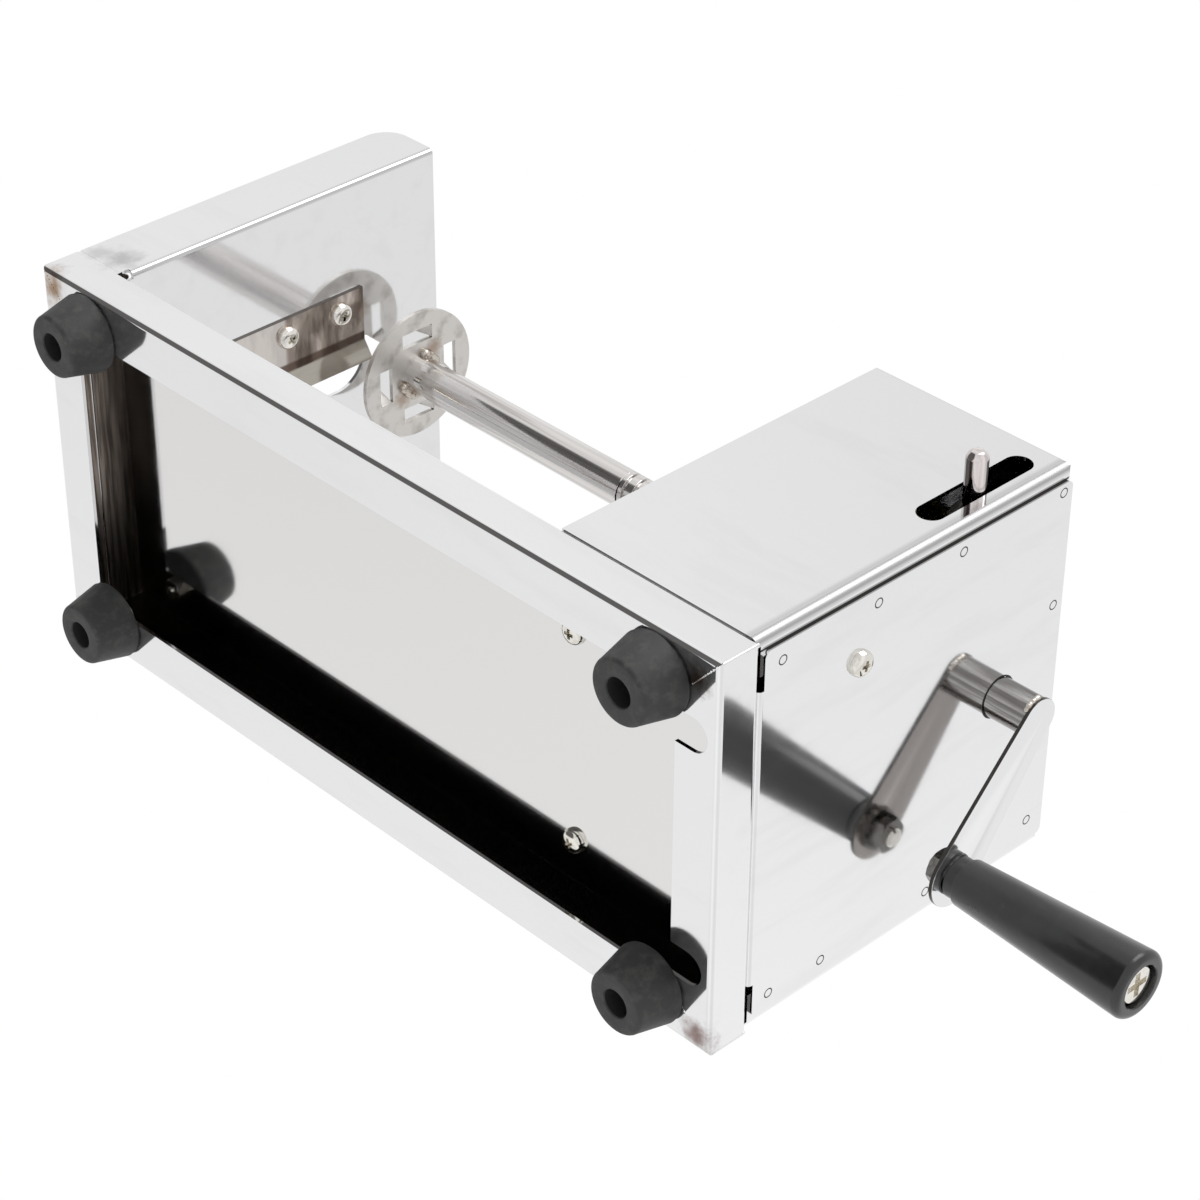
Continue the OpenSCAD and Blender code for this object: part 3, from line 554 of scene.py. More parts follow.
# Turned stainless pin: pale rose grey, with three dark bands of painted reflection along it, where it
# mirrors the slot
PIN = Metal(
    name="turned_stainless_pin", colour="ddd6d5", stain="a79f9c", grain=(1.2, 30, 1.2),
    stain_share=0.4, roughness=0.12, spread=0.03, relief=0.001,
    boxes=(
        # painted reflection: the three dark bands where the pin mirrors the slot
        ShadeBox(spot(275.0, -68, 106.3), (0.5, 7, 1.0), "857673", soft=0.35),
        ShadeBox(spot(271.5, -68, 107.6), (1.0, 6.6, 1.5), "4b4644", soft=0.25),
        ShadeBox(spot(277.5, -68, 111.1), (0.8, 6.6, 1.4), "5d5755", soft=0.25),
    ),
)
# The lumps in the reliefs of the upright's folds: black, standing in for the shade in the notches
RELIEF_SHADE = Metal(
    name="relief_painted_shade", colour="2a2623", stain="15120f", grain=(1, 1, 1),
    stain_share=0.6, roughness=0.4, spread=0.08, relief=0.01,
)
# Dark plated nut of the handle: grey, with small glints on its corners
DARK_NUT = Metal(
    name="dark_plated_nut", colour="7d7b78", stain="4e4c4a", grain=(2, 2, 2),
    stain_share=0.5, roughness=0.16, spread=0.05, relief=0.002,
)
# Free cutting brass, turned
BRASS = Metal(
    name="brass_turned", colour="d0ac62", stain="9c7a3c", grain=(0.6, 6, 6),
    stain_share=0.4, roughness=0.22, spread=0.05, relief=0.003,
)
# Black nylon, moulded
NYLON = Moulding(
    name="black_nylon_moulded", colour="1b1b1b", bloom="2c2c2c", bloom_share=0.4, patch=3,
    roughness=0.5, spread=0.06, grit=0.3, relief=0.01,
)
# Black phenolic grip, compression moulded: a hard gloss with a grey bloom and small scuffs
PHENOLIC = Moulding(
    name="black_phenolic_moulded", colour="151516", bloom="242526", bloom_share=0.6, patch=14,
    roughness=0.3, spread=0.04, grit=0.7, relief=0.004, coat=0.35,
)
# Black rubber, compression moulded: matt dark grey with dusty patches
RUBBER = Moulding(
    name="black_rubber_moulded", colour="2d2d2d", bloom="4f4e4c", bloom_share=0.6, patch=3.5,
    roughness=0.62, spread=0.08, grit=0.35, relief=0.03,
)
# The hole in a foot: rubber painted near black for the shade inside it, with faint dusty patches
BORE_RUBBER = Moulding(
    name="black_rubber_bore", colour="0b0b0b", bloom="1c1b1a", bloom_share=0.5, patch=2.0,
    roughness=0.8, spread=0.05, grit=0.35, relief=0.03,
)


class Finishes:
    """Builds each material once and puts it on pieces."""

    def __init__(self) -> None:
        """Starts with no material built."""
        self.built: dict[str, bpy.types.Material] = {}

    def put(self, piece: Piece, *finishes: Metal | Moulding) -> None:
        """Gives a piece its finishes, one for each material slot.

        Args:
            piece: A CAD node or a new piece.
            finishes: What it is made of; the last one fills the slots that are left.
        """
        for finish in finishes:
            if finish.name not in self.built:
                self.built[finish.name] = finish.make()
        while len(piece.data.materials) < len(finishes):
            piece.data.materials.append(None)
        for number in range(len(piece.data.materials)):
            piece.data.materials[number] = self.built[finishes[min(number, len(finishes) - 1)].name]


@dataclass
class Studio:
    """White studio, floor, lamp and the photograph's camera."""

    camera_place: Point = (581.6, -548.3, -489.6)
    camera_right: Point = (0.6913, -0.0051, 0.7225)
    camera_up: Point = (-0.4077, -0.8283, 0.3842)
    camera_back: Point = (0.5965, -0.5602, -0.5747)
    lens: float = 102.04
    sensor: float = 36.0
    clip: Span = (0.01, 50.0)
    floor_size: float = 4000.0
    floor_colour: str = "f4f4f4"
    dark_way: Point = (-0.6, -0.459, -0.655)
    dark_span: Span = (0.74, 0.84)
    dark_share: float = 0.93
    dark_colour: str = "4a4846"
    cloud_scale: float = 1.7
    cloud_span: Span = (0.35, 0.65)
    pale_span: Span = (0.86, 1.02)
    diffuse_strength: float = 0.85
    lamp_size: float = 0.9
    lamp_energy: float = 7.0
    lamp_place: Point = (0.25, -1.1, 0.75)
    lamp_target: Point = (0.0, 0.0, 0.05)

    def build(self) -> None:
        """Makes the camera, the world, the floor and the lamp."""
        bpy.context.scene.view_settings.view_transform = "Standard"
        self.make_camera()
        self.make_world()
        self.make_floor()
        self.make_lamp()

    def make_camera(self) -> None:
        """Puts the camera where the photograph was taken from, below the bench's level."""
        data = bpy.data.cameras.new("photo_camera")
        data.lens = self.lens
        data.sensor_width = self.sensor
        data.sensor_fit = "HORIZONTAL"
        data.clip_start, data.clip_end = self.clip
        camera = bpy.data.objects.new("photo_camera", data)
        bpy.context.scene.collection.objects.link(camera)
        turn = Matrix((self.camera_right, self.camera_up, self.camera_back)).transposed()
        camera.matrix_world = Matrix.Translation(metres(self.camera_place)) @ turn.to_4x4()
        bpy.context.scene.camera = camera

    def make_world(self) -> None:
        """White all round, with one dark side that polished folds and rods pick up."""
        world = bpy.data.worlds.new("studio")
        bpy.context.scene.world = world
        tree = new_tree(world)
        way = add_node(tree, "ShaderNodeTexCoord", {}, {}).outputs["Generated"]
        towards = vectors(tree, "DOT_PRODUCT", way, Vector(self.dark_way).normalized(), output="Value")
        dark = ranged(tree, towards, self.dark_span, (0.0, self.dark_share))
        pale = ranged(tree, noise(tree, way, self.cloud_scale, 1.0, 0.4), self.cloud_span, self.pale_span)
        studio = mix(tree, dark, pale, linear(self.dark_colour))
        light = add_node(tree, "ShaderNodeLightPath", {}, {}).outputs
        unseen = maths(tree, "MAXIMUM", light["Is Camera Ray"], light["Is Diffuse Ray"])
        back = add_node(tree, "ShaderNodeBackground", {}, {
            "Color": mix(tree, unseen, studio, (1.0, 1.0, 1.0, 1.0)),
            "Strength": ranged(
                tree, light["Is Diffuse Ray"], (0.0, 1.0), (1.0, self.diffuse_strength), "LINEAR"),
        }).outputs[0]
        add_node(tree, "ShaderNodeOutputWorld", {}, {"Surface": back})

    def make_floor(self) -> None:
        """A pale floor that shows from above and lets the view from below through."""
        bpy.ops.mesh.primitive_plane_add(size=self.floor_size * MM, location=(0, 0, 0))
        floor = bpy.context.active_object
        floor.name = "floor"
        material = bpy.data.materials.new("pale_floor")
        tree = new_tree(material)
        light = add_node(tree, "ShaderNodeLightPath", {}, {}).outputs["Is Camera Ray"]
        behind = add_node(tree, "ShaderNodeNewGeometry", {}, {}).outputs["Backfacing"]
        shown = add_node(tree, "ShaderNodeMath", {"operation": "SUBTRACT", "use_clamp": True}, {
            0: light, 1: behind,
        }).outputs[0]
        pale = add_node(tree, "ShaderNodeBsdfDiffuse", {}, {"Color": linear(self.floor_colour)}).outputs[0]
        clear = add_node(tree, "ShaderNodeBsdfTransparent", {}, {}).outputs[0]
        both = add_node(tree, "ShaderNodeMixShader", {}, {0: shown, 1: clear, 2: pale}).outputs[0]
        add_node(tree, "ShaderNodeOutputMaterial", {}, {"Surface": both})
        floor.data.materials.append(material)

    def make_lamp(self) -> None:
        """One large soft lamp, high on the side of the release pin."""
        data = bpy.data.lights.new("soft_lamp", "AREA")
        data.size = self.lamp_size
        data.energy = self.lamp_energy
        lamp = bpy.data.objects.new("soft_lamp", data)
        bpy.context.scene.collection.objects.link(lamp)
        lamp.location = self.lamp_place
        way = Vector(self.lamp_target) - lamp.location
        lamp.rotation_euler = way.to_track_quat("-Z", "Y").to_euler()


@dataclass(frozen=True)
class Bead:
    """How a weld bead is laid.

    Attributes:
        lumps: Number of drops.
        radius: Mean radius of a drop, in millimetres.
        skin: Size of the melted skin's faces, in millimetres.
    """

    lumps: int
    radius: float
    skin: float


class Workshop:
    """The modelling steps that several pieces share, done with Blender's own tools."""

    @staticmethod
    def clear() -> None:
        """Leaves edit mode and deselects everything."""
        if bpy.context.object and bpy.context.object.mode != "OBJECT":
            bpy.ops.object.mode_set(mode="OBJECT")
        bpy.ops.object.select_all(action="DESELECT")

    @staticmethod
    def chain(name: str, outline: Outline) -> Piece:
        """Draws an open chain of edges in the plane of X and Y and stays in edit mode.

        Args:
            name: The new piece's name.
            outline: Points as distance along X and radius along Y, in millimetres.

        Returns:
            The new piece.
        """
        Workshop.clear()
        bpy.ops.mesh.primitive_plane_add(size=MM, location=(0, 0, 0))
        piece = Workshop.label(bpy.context.active_object, name)
        bpy.ops.object.mode_set(mode="EDIT")
        bpy.ops.mesh.select_all(action="SELECT")
        bpy.ops.mesh.merge(type="CENTER")
        last = Vector((0, 0, 0))
        for number, (along, radius) in enumerate(outline):
            step = metres((along, radius, 0)) - last
            if number:
                bpy.ops.mesh.extrude_vertices_move(TRANSFORM_OT_translate={"value": step})
            else:
                bpy.ops.transform.translate(value=step)
            last += step
        return piece

    @staticmethod
    def close(piece: Piece, angle: float = 35.0) -> Piece:
        """Merges doubles, points the faces outwards, leaves edit mode and smooths the soft edges.

        Args:
            piece: The piece in edit mode.
            angle: Edges flatter than this are shaded smooth, in degrees.

        Returns:
            The same piece.
        """
        bpy.ops.mesh.select_all(action="SELECT")
        bpy.ops.mesh.remove_doubles(threshold=MERGE)
        bpy.ops.mesh.select_all(action="SELECT")
        bpy.ops.mesh.normals_make_consistent(inside=False)
        bpy.ops.object.mode_set(mode="OBJECT")
        bpy.ops.object.shade_smooth_by_angle(angle=math.radians(angle))
        return piece

    @staticmethod
    def turned(name: str, outline: Outline, steps: int = 72) -> Piece:
        """Turns an outline round the X axis.

        Args:
            name: The new piece's name.
            outline: Its half section, from pole to pole or as a closed ring.
            steps: Number of faces round it.

        Returns:
            The new piece, at the origin.
        """
        piece = Workshop.chain(name, outline)
        bpy.ops.mesh.select_all(action="SELECT")
        bpy.ops.mesh.spin(steps=steps, angle=math.tau, center=(0, 0, 0), axis=(1, 0, 0))
        return Workshop.close(piece)

    @staticmethod
    def threaded(name: str, outline: Outline, pitch: float, turns: int, steps: int = 48) -> Piece:
        """Winds one pitch of a thread's outline into a helix round the X axis.

        Args:
            name: The new piece's name.
            outline: One pitch of the thread, one pitch long.
            pitch: Distance from turn to turn, in millimetres.
            turns: Number of turns.
            steps: Number of faces in a turn.

        Returns:
            The new piece, closed at both ends.
        """
        piece = Workshop.chain(name, outline)
        bpy.ops.object.mode_set(mode="OBJECT")
        Workshop.modify(
            piece, "SCREW", axis="X", angle=math.tau, screw_offset=pitch * MM, iterations=turns,
            steps=steps, render_steps=steps,
        )
        bpy.ops.object.mode_set(mode="EDIT")
        bpy.ops.mesh.select_all(action="SELECT")
        bpy.ops.mesh.remove_doubles(threshold=MERGE)
        bpy.ops.mesh.select_all(action="SELECT")
        bpy.ops.mesh.fill_holes(sides=0)
        return Workshop.close(piece, 30.0)

    @staticmethod
    def settle(piece: Piece, place: Point, turn: Point = (0.0, 0.0, 0.0)) -> Piece:
        """Turns a piece, moves it to its place and puts both into its mesh.

        Args:
            piece: A piece at the origin.
            place: Where its origin goes, in millimetres of the part's frame.
            turn: Turns about X, Y and Z, in degrees.

        Returns:
            The same piece.
        """
        Workshop.pick(piece)
        piece.rotation_euler = tuple(math.radians(a) for a in turn)
        piece.location = metres(place)
        bpy.ops.object.transform_apply(location=True, rotation=True, scale=True)
        return piece

    @staticmethod
    def pick(piece: Piece) -> None:
        """Makes one piece the only selected and the active one.

        Args:
            piece: The piece.
        """
        Workshop.clear()
        piece.select_set(True)
        bpy.context.view_layer.objects.active = piece

    @staticmethod
    def join(name: str, pieces: Sequence[Piece]) -> Piece:
        """Joins pieces into one and names it.

        Args:
            name: The joined piece's name.
            pieces: One piece or more.

        Returns:
            The first piece, which now holds them all.
        """
        Workshop.pick(pieces[0])
        for piece in pieces:
            piece.select_set(True)
        if len(pieces) > 1:
            bpy.ops.object.join()
        return Workshop.label(pieces[0], name)

    @staticmethod
    def label(piece: Piece, name: str) -> Piece:
        """Names a piece and its mesh.

        Args:
            piece: The piece.
            name: Its name.

        Returns:
            The same piece.
        """
        piece.name = name
        piece.data.name = name
        return piece

    @staticmethod
    def copy(piece: Piece) -> Piece:
        """Copies a piece with its own mesh.

        Args:
            piece: The piece.

        Returns:
            The copy.
        """
        twin = piece.copy()
        twin.data = piece.data.copy()
        bpy.context.scene.collection.objects.link(twin)
        return twin

    @staticmethod
    def modify(piece: Piece, kind: str, **settings: Any) -> None:
        """Applies one modifier to the active piece.

        Args:
            piece: The active piece, out of edit mode.
            kind: The modifier's type, such as "BEVEL".
            settings: The modifier's properties, set in this order.
        """
        modifier = piece.modifiers.new(kind.lower(), kind)
        for name, value in settings.items():
            setattr(modifier, name, value)
        bpy.ops.object.modifier_apply(modifier=modifier.name)

    @staticmethod
    def cut(piece: Piece, cutter: Piece) -> None:
        """Takes the cutter's form out of a piece and removes the cutter.

        Args:
            piece: The piece that is cut.
            cutter: The form that goes.
        """
        Workshop.pick(piece)
        Workshop.modify(piece, "BOOLEAN", operation="DIFFERENCE", solver="EXACT", object=cutter)
        bpy.data.objects.remove(cutter)

    @staticmethod
    def two_slots(piece: Piece) -> None:
        """Opens two empty material slots."""
        piece.data.materials.append(None)
        piece.data.materials.append(None)

    @staticmethod
    def block(sizes: Point) -> Piece:
        """Makes a box at the origin.

        Args:
            sizes: Its sizes along X, Y and Z, in millimetres.

        Returns:
            The box.
        """
        Workshop.clear()
        bpy.ops.mesh.primitive_cube_add(size=MM, location=(0, 0, 0))
        box = bpy.context.active_object
        box.dimensions = metres(sizes)
        return box

    @staticmethod
    def weld_bead(name: str, path: Callable[[float], Point], size: Bead) -> Piece:
        """Lays overlapping drops along a path and melts them into one lumpy bead.

        Args:
            name: The new piece's name.
            path: Gives the place for a share of the way, in millimetres of the part's frame.
            size: How the bead is laid.

        Returns:
            The new piece.
        """
        drops = []
        for number in range(size.lumps):
            Workshop.clear()
            swell = 1 + 0.12 * math.sin(2.3 * number + size.radius) + 0.06 * math.cos(5.1 * number)
            bpy.ops.mesh.primitive_ico_sphere_add(
                subdivisions=3, radius=size.radius * swell * MM,
                location=metres(path(number / (size.lumps - 1))),
            )
            drops.append(bpy.context.active_object)
        bead = Workshop.join(name, drops)
        bpy.ops.object.transform_apply(location=True, rotation=True, scale=True)
        Workshop.modify(bead, "REMESH", mode="VOXEL", voxel_size=size.skin * MM)
        Workshop.modify(bead, "SMOOTH", factor=0.5, iterations=2)
        bpy.ops.object.shade_smooth()
        return bead


class Fitter:
    """Dresses each new piece, lets it ride on its body and reports it."""

    def __init__(self, finishes: Finishes) -> None:
        """Keeps the finishes that the pieces get."""
        self.finishes = finishes

    def fit(self, piece: Piece, body: Body, slot: Slot, *finishes: Metal | Moulding,
            stands_for: Sequence[str] = ()) -> None:
        """Fits one new piece.

        Args:
            piece: The finished piece.
            body: The body that it moves with.
            slot: The record's material slot; not used.
            finishes: What it is made of.
            stands_for: CAD nodes that it replaces.
        """
        self.finishes.put(piece, *finishes)
        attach(piece, body.value)
        if stands_for:
            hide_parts(*stands_for)
        LOG.info("%s: %d faces on %s", piece.name, len(piece.data.polygons), body.value)


@dataclass
class Assembly:
    """New pieces that belong together.

    Attributes:
        fitter: Dresses and fits each piece.
    """

    fitter: Fitter

    def build(self) -> None:
        """Makes and fits the pieces."""
        raise NotImplementedError


@dataclass(frozen=True)
class RingBeads:
    """Short weld beads of one size round the rod.

    Attributes:
        name: What they hold on the rod.
        x: Their place along the machine, in millimetres.
        out: Their middle's distance from the rod's surface, in millimetres.
        angles: The middle of each, from +Y towards +Z, in degrees.
        size: How each is laid.
    """

    name: str
    x: float
    out: float
    angles: Span
    size: Bead


@dataclass
class PushRod(Assembly):
    """The threaded push rod with the weld beads of its disc and crank arm."""

    radius: float = 6.25
    front: float = 38.9
    thread_start: float = 137.8
    thread_end: float = 285.8
    end: float = 299.8
    pitch: float = 4.0
    depth: float = 1.0
    crest_drop: float = 0.02
    crest_round: float = 0.06
    root_round: float = 0.1
    chamfer: float = 0.3
    bead_sweep: float = 46.0
    beads: tuple[RingBeads, ...] = (
        RingBeads("disc", 40.95, 0.75, (135.0, 315.0), Bead(6, 1.6, 0.22)),
        RingBeads("arm", 299.5, 0.2, (80.0, 200.0), Bead(9, 0.85, 0.18)),
    )

    def build(self) -> None:
        """Makes the rod and its four beads."""
        rod = Workshop.join("push_rod_threaded", [self.plain_front(), self.thread(), self.plain_end()])
        self.fitter.fit(rod, Body.ROD, Slot.TURNED, TURNED, stands_for=("push_rod",))
        for ring in self.beads:
            for number, angle in enumerate(ring.angles):
                path = self.ring_path(ring, angle)
                bead = Workshop.weld_bead(f"{ring.name}_weld_bead_{number + 1}", path, ring.size)
                self.fitter.fit(bead, Body.ROD, Slot.TURNED, WELD)

    def ring_path(self, ring: RingBeads, angle: float) -> Callable[[float], Point]:
        """Returns the path of one bead round the rod.

        Args:
            ring: The beads that it belongs to.
            angle: The middle of its sweep, from +Y towards +Z, in degrees.

        Returns:
            The place for a share of the sweep.
        """
        radius = self.radius + ring.out

        def path(share: float) -> Point:
            """Gives the place for a share of the sweep."""
            turn = math.radians(angle + (share - 0.5) * self.bead_sweep)
            return spot(ring.x, radius * math.cos(turn), AXIS_HEIGHT + radius * math.sin(turn))
        return path

    def plain_front(self) -> Piece:
        """Turns the plain bar from the disc to the thread."""
        edge = self.radius - self.chamfer
        return Workshop.settle(Workshop.turned("plain_front", [
            (self.front, 0), (self.front, edge), (self.front + self.chamfer, self.radius),
            (self.thread_start - self.chamfer, self.radius), (self.thread_start, edge),
            (self.thread_start, 0),
        ]), spot(0, 0, AXIS_HEIGHT))

    def plain_end(self) -> Piece:
        """Turns the plain stub from the thread to the crank arm."""
        return Workshop.settle(Workshop.turned("plain_end", [
            (self.thread_end, 0), (self.thread_end, self.radius - self.chamfer),
            (self.thread_end + self.chamfer, self.radius), (self.end, self.radius), (self.end, 0),
        ]), spot(0, 0, AXIS_HEIGHT))

    def thread(self) -> Piece:
        """Winds the right hand thread, whose outline starts and ends in the middle of a crest."""
        crest = self.radius - self.crest_drop
        root = self.radius - self.depth
        half = [
            (0, crest), (0.35, crest), (0.37, crest - self.crest_round), (0.44, root + self.root_round),
            (0.47, root),
        ]
        whole = half + [(1 - share, radius) for share, radius in reversed(half)]
        turns = round((self.thread_end - self.thread_start) / self.pitch)
        outline = [(share * self.pitch, radius) for share, radius in whole]
        bar = Workshop.threaded("thread", outline, self.pitch, turns)
        return Workshop.settle(bar, spot(self.thread_start - self.pitch / 2, 0, AXIS_HEIGHT))


@dataclass
class CrankArm(Assembly):
    """The flat tapered arm, sheared from bar, its edges broken."""

    back: float = 299.8
    front: float = 301.1
    top_radius: float = 6.55
    end_radius: float = 10.0
    reach: float = 49.0
    angle: float = -40.0
    bolt_radius: float = 3.03
    edge_break: float = 0.18
    sharp: float = 50.0
    steps: int = 48

    def build(self) -> None:
        """Makes the arm."""
        lean = math.acos((self.top_radius - self.end_radius) / self.reach)
        outline = [
            *self.arc(self.end_radius, self.reach, -lean, lean),
            *self.arc(self.top_radius, 0.0, lean, math.tau - lean),
        ]
        thick = self.front - self.back
        Workshop.clear()
        bpy.ops.mesh.primitive_circle_add(vertices=len(outline), radius=MM, fill_type="NGON")
        arm = bpy.context.active_object
        for vertex, (along, across) in zip(arm.data.vertices, outline):
            vertex.co = metres((0, along, across))
        bpy.ops.object.mode_set(mode="EDIT")
        bpy.ops.mesh.select_all(action="SELECT")
        bpy.ops.mesh.extrude_region_move(TRANSFORM_OT_translate={"value": metres((thick, 0, 0))})
        Workshop.close(arm)
        self.drill(arm, thick)
        Workshop.modify(
            arm, "BEVEL", width=self.edge_break * MM, segments=2, limit_method="ANGLE",
            angle_limit=math.radians(self.sharp),
        )
        bpy.ops.object.shade_smooth_by_angle(angle=math.radians(35))
        Workshop.label(arm, "crank_arm_flat_bar")
        Workshop.settle(arm, spot(self.back, 0, AXIS_HEIGHT), (self.angle, 0, 0))
        self.fitter.fit(arm, Body.ROD, Slot.TURNED, ARM, stands_for=("crank_arm",))

    def arc(self, radius: float, along: float, start: float, end: float) -> list[Span]:
        """Returns the points of one round end, counted round its own centre."""
        turns = [start + (end - start) * number / self.steps for number in range(self.steps + 1)]
        return [(along + radius * math.cos(a), radius * math.sin(a)) for a in turns]

    def drill(self, arm: Piece, thick: float) -> None:
        """Drills the bolt's hole through the arm.

        Args:
            arm: The arm before it leans.
            thick: Its thickness, in millimetres.
        """
        Workshop.clear()
        bpy.ops.mesh.primitive_cylinder_add(
            vertices=self.steps, radius=self.bolt_radius * MM, depth=4 * thick * MM,
            location=metres((0, self.reach, 0)), rotation=(0, math.pi / 2, 0),
        )
        Workshop.cut(arm, bpy.context.active_object)


@dataclass
class Handle(Assembly):
    """The moulded grip."""

    start: float = 301.4
    end: float = 366.6
    axis_y: float = 37.536
    axis_z: float = 81.003
    collar_radius: float = 6.3
    collar: float = 3.8
    collar_break: float = 0.4
    fillet: float = 0.2
    neck_radius: float = 7.25
    neck_round: float = 0.55
    big_radius: float = 10.4
    rim: float = 2.2
    bore: float = 3.03
    lip_radius: float = 6.6
    lip_break: float = 0.3
    recess: float = 4.7

    def build(self) -> None:
        """Makes the grip."""
        shoulder = self.start + self.collar
        floor = self.end - self.recess
        turns = [math.radians(a) for a in range(0, 91, 10)]
        rim = [
            (self.end - self.rim * (1 - math.sin(a)), self.big_radius - self.rim * (1 - math.cos(a)))
            for a in turns
        ]
        neck_mid = 0.29 * self.neck_round
        grip = Workshop.turned("handle_grip_moulded", [
            (self.start, self.bore), (self.start, self.collar_radius - self.collar_break),
            (self.start + self.collar_break, self.collar_radius),
            (shoulder - self.fillet, self.collar_radius),
            (shoulder, self.collar_radius + self.fillet), (shoulder, self.neck_radius - self.neck_round),
            (shoulder + neck_mid, self.neck_radius - neck_mid),
            (shoulder + self.neck_round, self.neck_radius),
            *rim, (self.end, self.lip_radius + self.lip_break),
            (self.end - self.lip_break, self.lip_radius),
            (floor, self.lip_radius), (floor, self.bore), (self.start, self.bore),
        ], steps=96)
        Workshop.settle(grip, spot(0, self.axis_y, self.axis_z))
        self.fitter.fit(grip, Body.GRIP, Slot.GRIP, PHENOLIC, stands_for=("handle_grip",))


@dataclass
class ReleasePin(Assembly):
    """The round release pin with its chamfered nose."""

    x: float = 274.4
    z: float = 109.5
    radius: float = 3.25
    outer: float = -76.8
    inner: float = -41.6
    edge: float = 0.3
    nose: Outline = ((0, 0), (0, 1.75), (0.12, 1.95), (1.0, 2.8), (1.6, 3.1))
    nose_length: float = 2.0

    def build(self) -> None:
        """Makes the pin."""
        length = self.inner - self.outer
        pin = Workshop.turned("release_pin_turned", [
            *self.nose, (self.nose_length, self.radius), (length - self.edge, self.radius),
            (length, self.radius - self.edge), (length, 0),
        ], steps=64)
        Workshop.settle(pin, spot(self.x, self.outer, self.z), (0, 0, 90))
        self.fitter.fit(pin, Body.LEVER, Slot.TURNED, PIN, stands_for=("release_pin",))


@dataclass
class Feet(Assembly):
    """The four moulded rubber feet, one modelled and three copied."""

    height: float = 14.0
    top_radius: float = 12.75
    tip_radius: float = 10.0
    tip_round: float = 1.3
    brim: float = 1.4
    brim_cut: float = 0.5
    top_cut: float = 1.1
    bore_radius: float = 4.35
    mouth: Outline = ((0.5, 0), (0.1, 0.25), (0, 0.6))
    bore_edge: float = 0.1
    seat: float = 8.8
    clear_radius: float = 2.2

    def build(self) -> None:
        """Makes the feet."""
        lean = (self.top_radius - self.tip_radius) / self.height
        mouth = [(depth, self.bore_radius + wider) for depth, wider in self.mouth]
        turns = [math.radians(a) for a in range(0, 91, 15)]
        tip = [
            (self.tip_round * (1 - math.cos(a)), self.tip_radius - self.tip_round * (1 - math.sin(a)))
            for a in turns
        ]
        foot = Workshop.turned("foot", [
            *mouth, *tip, (self.height - self.brim, self.top_radius - self.brim * lean),
            (self.height - self.brim_cut, self.top_radius - self.brim_cut),
            (self.height, self.top_radius - self.top_cut), (self.height, self.clear_radius),
            (self.seat, self.clear_radius), (self.seat, self.bore_radius), mouth[0],
        ], steps=64)
        Workshop.two_slots(foot)
        # the faces inside the hole take the second slot, painted near black for its shade
        bore = (self.bore_radius + self.bore_edge) * MM
        for face in foot.data.polygons:
            face.material_index = int(math.hypot(face.center.y, face.center.z) < bore)
        for node, x, y in FOOT_PLACES:
            twin = Workshop.label(Workshop.copy(foot), f"{node}_rubber")
            Workshop.settle(twin, spot(x, y, -self.height), (0, -90, 0))
            self.fitter.fit(twin, Body.FRAME, Slot.RUBBER, RUBBER, BORE_RUBBER, stands_for=(node,))
        bpy.data.objects.remove(foot)


@dataclass(frozen=True)
class ScrewPlace:
    """Where one screw sits.

    Attributes:
        place: The seat of its head, in the part's frame.
        turn: Turns that bring its shank from +X to its own way, in degrees.
        shank: Length of its shank, in millimetres.
        twist: How far its cross is turned about its own axis, in degrees.
    """

    place: Point
    turn: Point
    shank: float
    twist: float


